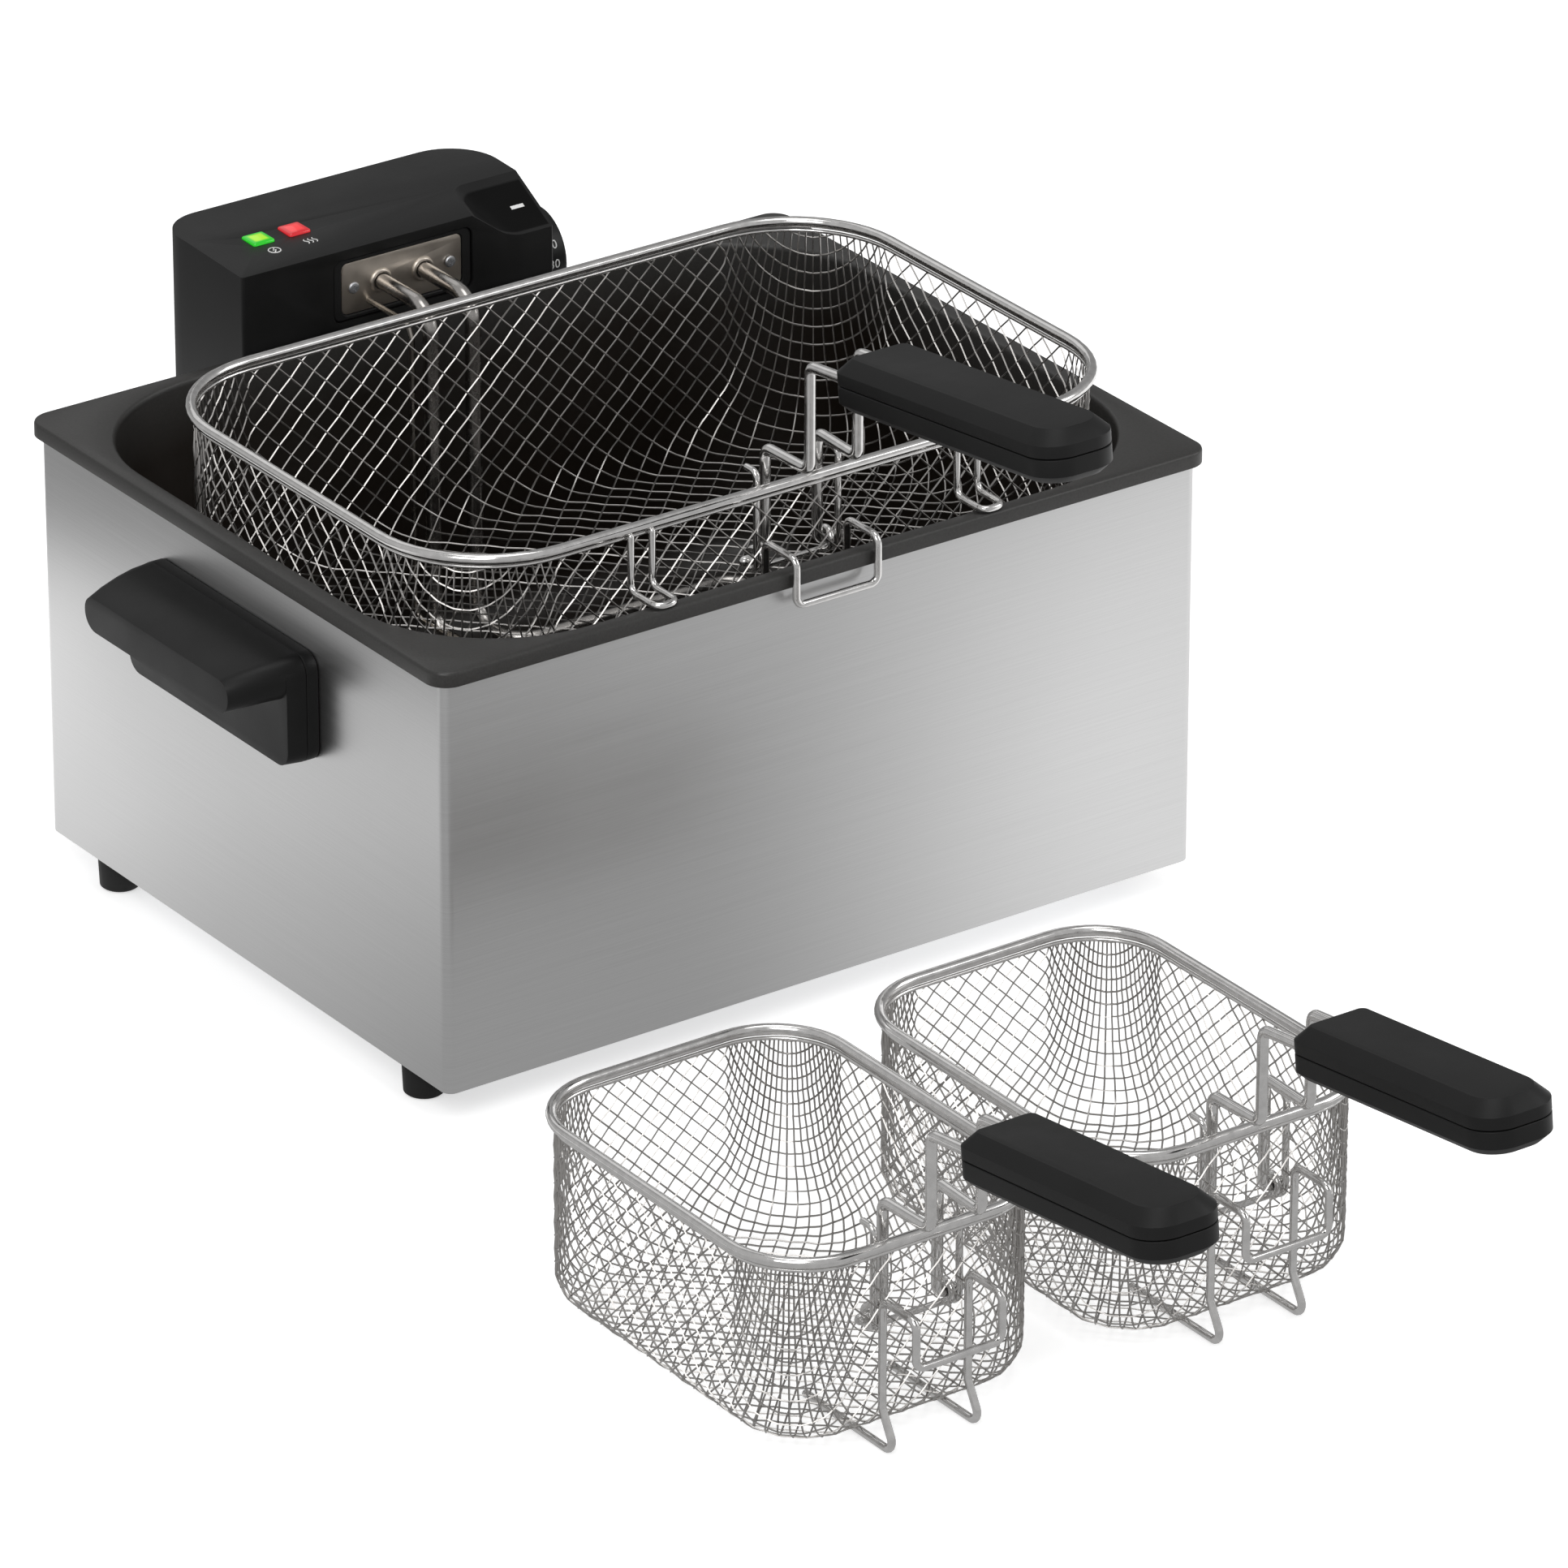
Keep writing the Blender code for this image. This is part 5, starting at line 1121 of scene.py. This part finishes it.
class FRYER_OT_heater(bpy.types.Operator):
    """The heater's face plate and screws, its seal and the bent element"""

    bl_idname = "fryer.heater"
    bl_label = "Heater"

    def execute(self, context):
        self.face()
        self.element()
        return {"FINISHED"}

    def face(self):
        upright = (QUARTER, 0, 0)
        low, high, place = box_of("heater_plate")
        wide, tall = high.x - low.x, high.z - low.z
        plate = moved(stack("heater_face", [(wide, tall, 0.003, 0), (wide, tall, 0.003, 0.0015)]),
                      (place.x, high.y, place.z), upright)
        collars, bores = [], []
        for x in (place.x - ELEMENT_HALF, place.x + ELEMENT_HALF):
            collars.append(moved(stack("collar", [
                (0.0112, 0.0112, 0.00559, 0), (0.0110, 0.0110, 0.00549, 0.0007),
                (0.0096, 0.0096, 0.00479, 0.0014)], 8), (x, low.y + 0.0002, place.z), upright))
            deselect()
            bpy.ops.mesh.primitive_cylinder_add(radius=0.0039, depth=0.02, vertices=32,
                                                rotation=upright,
                                                location=(x, place.y, place.z))
            bores.append(settle(bpy.context.object))
        boolean(plate, join(*collars), "UNION")
        boolean(plate, join(*bores))
        soften(plate, 0.0003, 2)
        hand_over(plate, "head", "heater_plate", MATERIALS["plate"], "heater_plate")
        for side, sign in (("left", -1), ("right", 1)):
            self.screw(f"plate_screw_{side}", (place.x + sign * PLATE_SCREW_HALF, low.y, place.z))
        seal_low, seal_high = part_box("element_seal")
        seal_wide, seal_tall = seal_high.x - seal_low.x, seal_high.z - seal_low.z
        rim = stack("seal_frame", [
            (seal_wide, seal_tall, 0.004, 0), (seal_wide, seal_tall, 0.004, 0.0016),
            (seal_wide - 0.0012, seal_tall - 0.0012, 0.0034, 0.0022)])
        boolean(rim, stack("mouth", [
            (wide + 0.0006, tall + 0.0006, 0.0033, -0.002),
            (wide + 0.0006, tall + 0.0006, 0.0033, 0.0017),
            (wide + 0.0036, tall + 0.0036, 0.0048, 0.0032)]))
        moved(rim, (place.x, seal_high.y, place.z), upright)
        smooth(rim, 40)
        hand_over(rim, "head", "seal", MATERIALS["seal"], "element_seal")

    def screw(self, name, seat):
        """A pan head with a crossed slot, on its shank."""
        diameters = ((0.0026, -0.0070), (0.0028, -0.0066), (0.0028, 0.0003), (0.0052, 0.0003),
                     (0.0052, 0.0007), (0.0044, 0.0012), (0.0028, 0.0014))
        screw = stack(f"{name}_head", rounds(diameters), 6)
        for turn in (0, QUARTER):
            slot = block("slot", (-0.0014, -0.00028, 0.0008), (0.0014, 0.00028, 0.003))
            moved(slot, rotation=(0, 0, turn + math.radians(20)))
            boolean(screw, slot)
        moved(screw, seat, (QUARTER, 0, 0))
        smooth(screw, 30)
        hand_over(screw, "head", "screws", MATERIALS["zinc"], name)

    def element(self):
        low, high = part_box("heating_element")
        radius = ELEMENT_RADIUS
        plate_low, plate_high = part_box("heater_plate")
        middle_x = (plate_low.x + plate_high.x) / 2
        plate_z = (plate_low.z + plate_high.z) / 2
        left, right = middle_x - ELEMENT_HALF, middle_x + ELEMENT_HALF
        low_z = low.z + radius
        upright_y = HEAD_LOW.y - 0.0370
        back_run = upright_y - 0.030
        reach = (high.x - low.x) / 2 - radius
        front_y = low.y + radius
        inner = reach / 3
        x = MIDDLE.x
        half = [(left, high.y, plate_z), (left, upright_y, plate_z), (left, upright_y, low_z),
                (left, back_run, low_z), (x - reach, back_run, low_z),
                (x - reach, front_y, low_z), (x - inner, front_y, low_z),
                (x - inner, back_run - 0.050, low_z)]
        other = [(2 * x - px, py, pz) for px, py, pz in half[4:]]
        legs = [(right, py, pz) for _, py, pz in half[:4]]
        path = bent(half + other[::-1] + legs[::-1], 0.013, 10)
        tube = wires("element_tube", [path], radius, resolution=5, domed=False)
        hand_over(tube, "head", "element", MATERIALS["element"], "heating_element")


class FRYER_OT_back_fittings(bpy.types.Operator):
    """The cord gland and the reset button on the head's back"""

    bl_idname = "fryer.back_fittings"
    bl_label = "Back fittings"

    def execute(self, context):
        back = (math.radians(-90), 0, 0)
        low, high, place = box_of("cord_gland")
        diameters = [(0.0108, -0.0062), (0.0110, -0.0058), (0.0110, 0.0003),
                     (0.0146, 0.0004), (0.0150, 0.0010)]
        diameters += [(0.0146 - 0.0007 * step, 0.0028 + 0.0018 * step) for step in range(6)]
        diameters.append((0.0092, 0.0140))
        gland = stack("gland_sleeve", rounds(diameters), 8)
        boolean(gland, stack("bore", rounds(((0.0076, -0.010), (0.0076, 0.020))), 8))
        moved(gland, (place.x, HEAD_HIGH.y, place.z), back)
        smooth(gland, 30)
        hand_over(gland, "head", "gland", MATERIALS["rubber"], "cord_gland")
        low, high, place = box_of("reset_button")
        wide = high.x - low.x
        diameters = ((wide, low.y - HEAD_HIGH.y), (wide, 0.0030), (wide - 0.0006, 0.0037),
                     (wide - 0.0018, 0.0040))
        button = stack("reset_cap", rounds(diameters), 8)
        moved(button, (place.x, HEAD_HIGH.y, place.z), back)
        smooth(button, 30)
        hand_over(button, "reset", "reset_red", MATERIALS["red_button"], "reset_button")
        return {"FINISHED"}


class FRYER_OT_baskets(bpy.types.Operator):
    """Rims, woven bodies, hooks, rests, brackets and handle wires of all three baskets"""

    bl_idname = "fryer.baskets"
    bl_label = "Baskets"

    def execute(self, context):
        for name in BASKETS:
            self.basket(name)
        return {"FINISHED"}

    def basket(self, name):
        wide_one = name == "wide_basket"
        gauge = sizes()
        low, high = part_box(f"{name}_rim")
        centre = (low + high) / 2
        wide = high.x - low.x - 2 * gauge.rim_wire
        deep = high.y - low.y - 2 * gauge.rim_wire
        corner = 0.052 if wide_one else 0.034
        mesh_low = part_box(f"{name}_mesh")[0]
        depth = centre.z - mesh_low.z
        pitch = gauge.wide_pitch if wide_one else gauge.half_pitch
        body, wire = name, MATERIALS["wire"]

        def placed(piece):
            return moved(piece, centre)

        rim = placed(wires(f"{name}_rim_wire", [loop(wide, deep, corner, 0)], gauge.rim_wire,
                           closed=True))
        edge = placed(wires("edge", [loop(wide - 0.0016, deep - 0.0016, corner - 0.0008,
                                          -0.0036)], 0.0009, closed=True, resolution=2))
        join(rim, edge)
        hand_over(rim, body, "basket_wire", wire, f"{name}_rim")
        weave = placed(wires(f"{name}_weave", weave_paths(wide, deep, corner, depth, pitch),
                             gauge.weave_wire, resolution=0, domed=False))
        hand_over(weave, body, "basket_mesh", MATERIALS["weave"], f"{name}_mesh")

        leg_y = -deep / 2 - gauge.hook_wire - GAP
        rail_z = -depth - gauge.hook_wire - GAP
        hook = [(HOOK_HALF, leg_y - 0.0092 + 0.060, rail_z), (HOOK_HALF, leg_y - 0.0092, rail_z),
                (HOOK_HALF, leg_y, rail_z + 0.0165), (HOOK_HALF, leg_y, -0.0225),
                (HOOK_HALF, leg_y - 0.0221, -0.0225), (HOOK_HALF, leg_y - 0.0221, -0.0430)]
        made = placed(wires(f"{name}_hook_wire", [bent(both_sides(hook), WIRE_BEND)],
                            gauge.hook_wire))
        hand_over(made, body, "basket_wire", wire, f"{name}_hook")

        bracket_y = -deep / 2 + gauge.rim_wire + GAP + gauge.fine_wire
        eye_y = bracket_y + EYE_RADIUS
        half = bent([(HOOK_HALF, bracket_y + 0.007, 0.0065), (HOOK_HALF, bracket_y, 0.0065),
                     (HOOK_HALF, bracket_y, -0.0335)], 0.003)
        for step in range(41):
            turn = math.radians(180 + 450 * step / 40)
            half.append(Vector((HOOK_HALF - 0.0042 * step / 40,
                                eye_y + EYE_RADIUS * math.cos(turn),
                                -EYE_DROP + EYE_RADIUS * math.sin(turn))))
        made = placed(wires(f"{name}_bracket_wire", [both_sides(half)], gauge.fine_wire))
        hand_over(made, body, "basket_wire", wire, f"{name}_bracket")
        if wide_one:
            self.rests(name, deep, centre)
        self.handle(name, centre, eye_y, RISERS[name])

    def rests(self, name, deep, centre):
        gauge = sizes()
        leg_y = -deep / 2 - gauge.fine_wire - GAP
        foot_z = RIM_TOP - centre.z + gauge.fine_wire + GAP
        points = [(0.00525, leg_y, -0.0027), (0.00525, leg_y, foot_z),
                  (0.00525, leg_y - 0.0185, foot_z)]
        path = bent(both_sides(points), WIRE_BEND)
        for side, x in REST_PLACES:
            made = moved(wires(f"{name}_rest_wire_{side}", [path], gauge.fine_wire),
                         centre + Vector((x, 0, 0)))
            hand_over(made, name, "basket_wire", MATERIALS["wire"], f"{name}_rest_{side}")

    def handle(self, name, centre, eye_y, riser):
        gauge = sizes()
        neck_y = -HANDLE_RUN - HANDLE_NECK * math.cos(GRIP_TILT)
        neck_z = LEG_HEIGHT + riser + HANDLE_NECK * math.sin(GRIP_TILT)
        tail = (0.012, neck_y - 0.070 * math.cos(GRIP_TILT),
                neck_z + 0.070 * math.sin(GRIP_TILT))
        points = [(0.0235, 0, 0), (0.0131, 0, 0), (0.0131, 0, LEG_HEIGHT),
                  (0.0120, -HANDLE_RUN, LEG_HEIGHT),
                  (0.0120, -HANDLE_RUN, LEG_HEIGHT + riser), tail]
        made = moved(wires(f"{name}_handle_wires", [bent(both_sides(points), WIRE_BEND)],
                           gauge.rim_wire), centre + Vector((0, eye_y, -EYE_DROP)))
        hand_over(made, f"{name}_handle", "basket_wire", MATERIALS["wire"],
                  f"{name}_handle_wire")


def weave_paths(wide, deep, corner, depth, pitch):
    """Crossing wires of a flat woven sheet that is pressed into a basket's shape. Each path is
    followed over the sheet, and carried on to the floor, the rounded foot or the wall."""
    foot = 0.016
    inset = 0.0011
    floor_reach = corner - foot
    bend_length = foot * math.pi / 2
    wall_top = -0.0034
    sheet_reach = floor_reach + bend_length + (wall_top + depth - foot)
    core_x, core_y = wide / 2 - corner, deep / 2 - corner

    def nearest(x, y):
        """The closest place on the flat core, which no bend reaches."""
        return max(-core_x, min(core_x, x)), max(-core_y, min(core_y, y))

    def pressed(x, y, lift):
        near_x, near_y = nearest(x, y)
        out = Vector((x - near_x, y - near_y))
        reach = out.length
        way = out / reach if reach > 1e-9 else Vector((0.0, 0.0))
        if reach <= floor_reach:
            flat, height = reach, -depth + inset
            normal = Vector((0, 0, 1))
        elif reach <= floor_reach + bend_length:
            turn = (reach - floor_reach) / foot
            flat = floor_reach + (foot - inset) * math.sin(turn)
            height = -depth + foot - (foot - inset) * math.cos(turn)
            normal = Vector((-way.x * math.sin(turn), -way.y * math.sin(turn), math.cos(turn)))
        else:
            flat = corner - inset
            height = -depth + foot + reach - floor_reach - bend_length
            normal = Vector((-way.x, -way.y, 0))
        point = Vector((near_x + way.x * flat, near_y + way.y * flat, height))
        return point + normal * lift

    def inside(x, y):
        near_x, near_y = nearest(x, y)
        return math.hypot(x - near_x, y - near_y) <= sheet_reach

    def edge(x_in, x_out, line_y):
        for _ in range(24):
            x = (x_in + x_out) / 2
            if inside(x, line_y(x)):
                x_in = x
            else:
                x_out = x
        return x_in

    crimp = 0.00022
    step = pitch / 4
    most_x = core_x + sheet_reach
    count = int((most_x + core_y + sheet_reach) / pitch) + 1
    columns = int(most_x / step) + 2
    paths = []
    for slope in (1, -1):
        for k in range(-count, count + 1):
            def line_y(x, slope=slope, k=k):
                return slope * (x - k * pitch)
            marks = [c * step for c in range(-columns, columns + 1)
                     if inside(c * step, line_y(c * step))]
            if len(marks) < 2:
                continue
            first = edge(marks[0], marks[0] - step, line_y)
            last = edge(marks[-1], marks[-1] + step, line_y)
            path = [pressed(first, line_y(first), 0)]
            for x in marks:
                index = round(x / step) - 2 * k
                lift = 0.0
                if index % 2 == 0:
                    lift = crimp * slope * (1 if (index // 2) % 2 == 0 else -1)
                path.append(pressed(x, line_y(x), lift))
            path.append(pressed(last, line_y(last), 0))
            paths.append(path)
    return paths


class FRYER_OT_grips(bpy.types.Operator):
    """The two-part plastic grips on the baskets' handles"""

    bl_idname = "fryer.grips"
    bl_label = "Grips"

    def execute(self, context):
        for name in BASKETS:
            self.grip(name, GRIP_LENGTHS[name], RISERS[name])
        return {"FINISHED"}

    def grip(self, name, length, riser):
        pivot = Vector(JOINTS[f"{name}_handle_fold"]["pos_m"])
        place = pivot + Vector((0, -HANDLE_RUN - HANDLE_NECK * math.cos(GRIP_TILT),
                                LEG_HEIGHT + riser + HANDLE_NECK * math.sin(GRIP_TILT)))
        wide, half = 0.0385, 0.0110
        radii = (0.0060, 0.0060, 0.0140, 0.0140)

        def section(inset, z):
            own = tuple(max(radius - 0.55 * inset, 0.0015) for radius in radii)
            return (wide - 2 * inset, length - 2 * inset, own, z, (0, -length / 2))

        top = stack(f"{name}_grip_upper", [
            section(0.0003, 0.0002), section(0, 0.0005), section(0, half - 0.0055),
            section(0.0055, half)], 10)
        bottom = stack(f"{name}_grip_lower", [
            section(0.0035, -half), section(0, -half + 0.0035), section(0, -0.0005),
            section(0.0003, -0.0002)], 10)
        channel = block("channel", (-0.0148, -0.0728, -0.0028), (0.0148, 0.002, 0.0028))
        core = block("core", (-0.0092, -0.0636, -0.003), (0.0092, 0.003, 0.003))
        boolean(channel, core)
        spare = copy_of(channel, "spare")
        for piece, tool, node_name in ((top, channel, "top"), (bottom, spare, "bottom")):
            boolean(piece, tool)
            moved(piece, place, (-GRIP_TILT, 0, 0))
            soften(piece, 0.0013, 4, 25)
            hand_over(piece, f"{name}_handle", "basket_grips", MATERIALS["grip"],
                      f"{name}_handle_grip_{node_name}")


class FRYER_OT_inner_parts(bpy.types.Operator):
    """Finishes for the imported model's own pieces that stay in view or inside"""

    bl_idname = "fryer.inner_parts"
    bl_label = "Inner parts"

    def execute(self, context):
        finishes = {
            "zinc": ("base_plate", "head_bracket", "thermostat", "handle_screw_front_left",
                     "handle_screw_front_right", "handle_screw_back_left",
                     "handle_screw_back_right", "bracket_screw_left", "bracket_screw_right"),
            "casing": ("head_base", "thermal_cutout"),
            "insulator": ("element_carrier", "terminal_block"),
            "probe": ("probe_tube",),
            "brass": ("dial_shaft",),
        }
        for finish, names in finishes.items():
            for name in names:
                mesh = frame["nodes"][name].data
                mesh.materials.clear()
                mesh.materials.append(MATERIALS[finish])
        return {"FINISHED"}


class FRYER_PT_panel(bpy.types.Panel):
    """Lists the fryer's sizes, colours and building steps"""

    bl_idname = "FRYER_PT_panel"
    bl_label = "Deep Fryer"
    bl_space_type = "VIEW_3D"
    bl_region_type = "UI"
    bl_category = "Fryer"

    def draw(self, context):
        column = self.layout.column()
        for name in FryerSizes.__annotations__:
            column.prop(context.scene.fryer_sizes, name)
        for name in FryerColours.__annotations__:
            column.prop(context.scene.fryer_colours, name)
        for operator in OPERATORS:
            column.operator(operator.bl_idname)


OPERATORS = (FRYER_OT_stage, FRYER_OT_housing, FRYER_OT_side_handles, FRYER_OT_pot,
             FRYER_OT_control_head, FRYER_OT_lights, FRYER_OT_dial, FRYER_OT_heater,
             FRYER_OT_back_fittings, FRYER_OT_baskets, FRYER_OT_grips, FRYER_OT_inner_parts)


def register():
    for kind in (FryerSizes, FryerColours, *OPERATORS, FRYER_PT_panel):
        bpy.utils.register_class(kind)
    bpy.types.Scene.fryer_sizes = PointerProperty(type=FryerSizes)
    bpy.types.Scene.fryer_colours = PointerProperty(type=FryerColours)


def unregister():
    del bpy.types.Scene.fryer_colours
    del bpy.types.Scene.fryer_sizes
    for kind in reversed((FryerSizes, FryerColours, *OPERATORS, FRYER_PT_panel)):
        bpy.utils.unregister_class(kind)


def main():
    register()
    MATERIALS.update(make_materials())
    for operator in OPERATORS:
        group, name = operator.bl_idname.split(".")
        getattr(getattr(bpy.ops, group), name)()


if __name__ == "__main__":
    main()
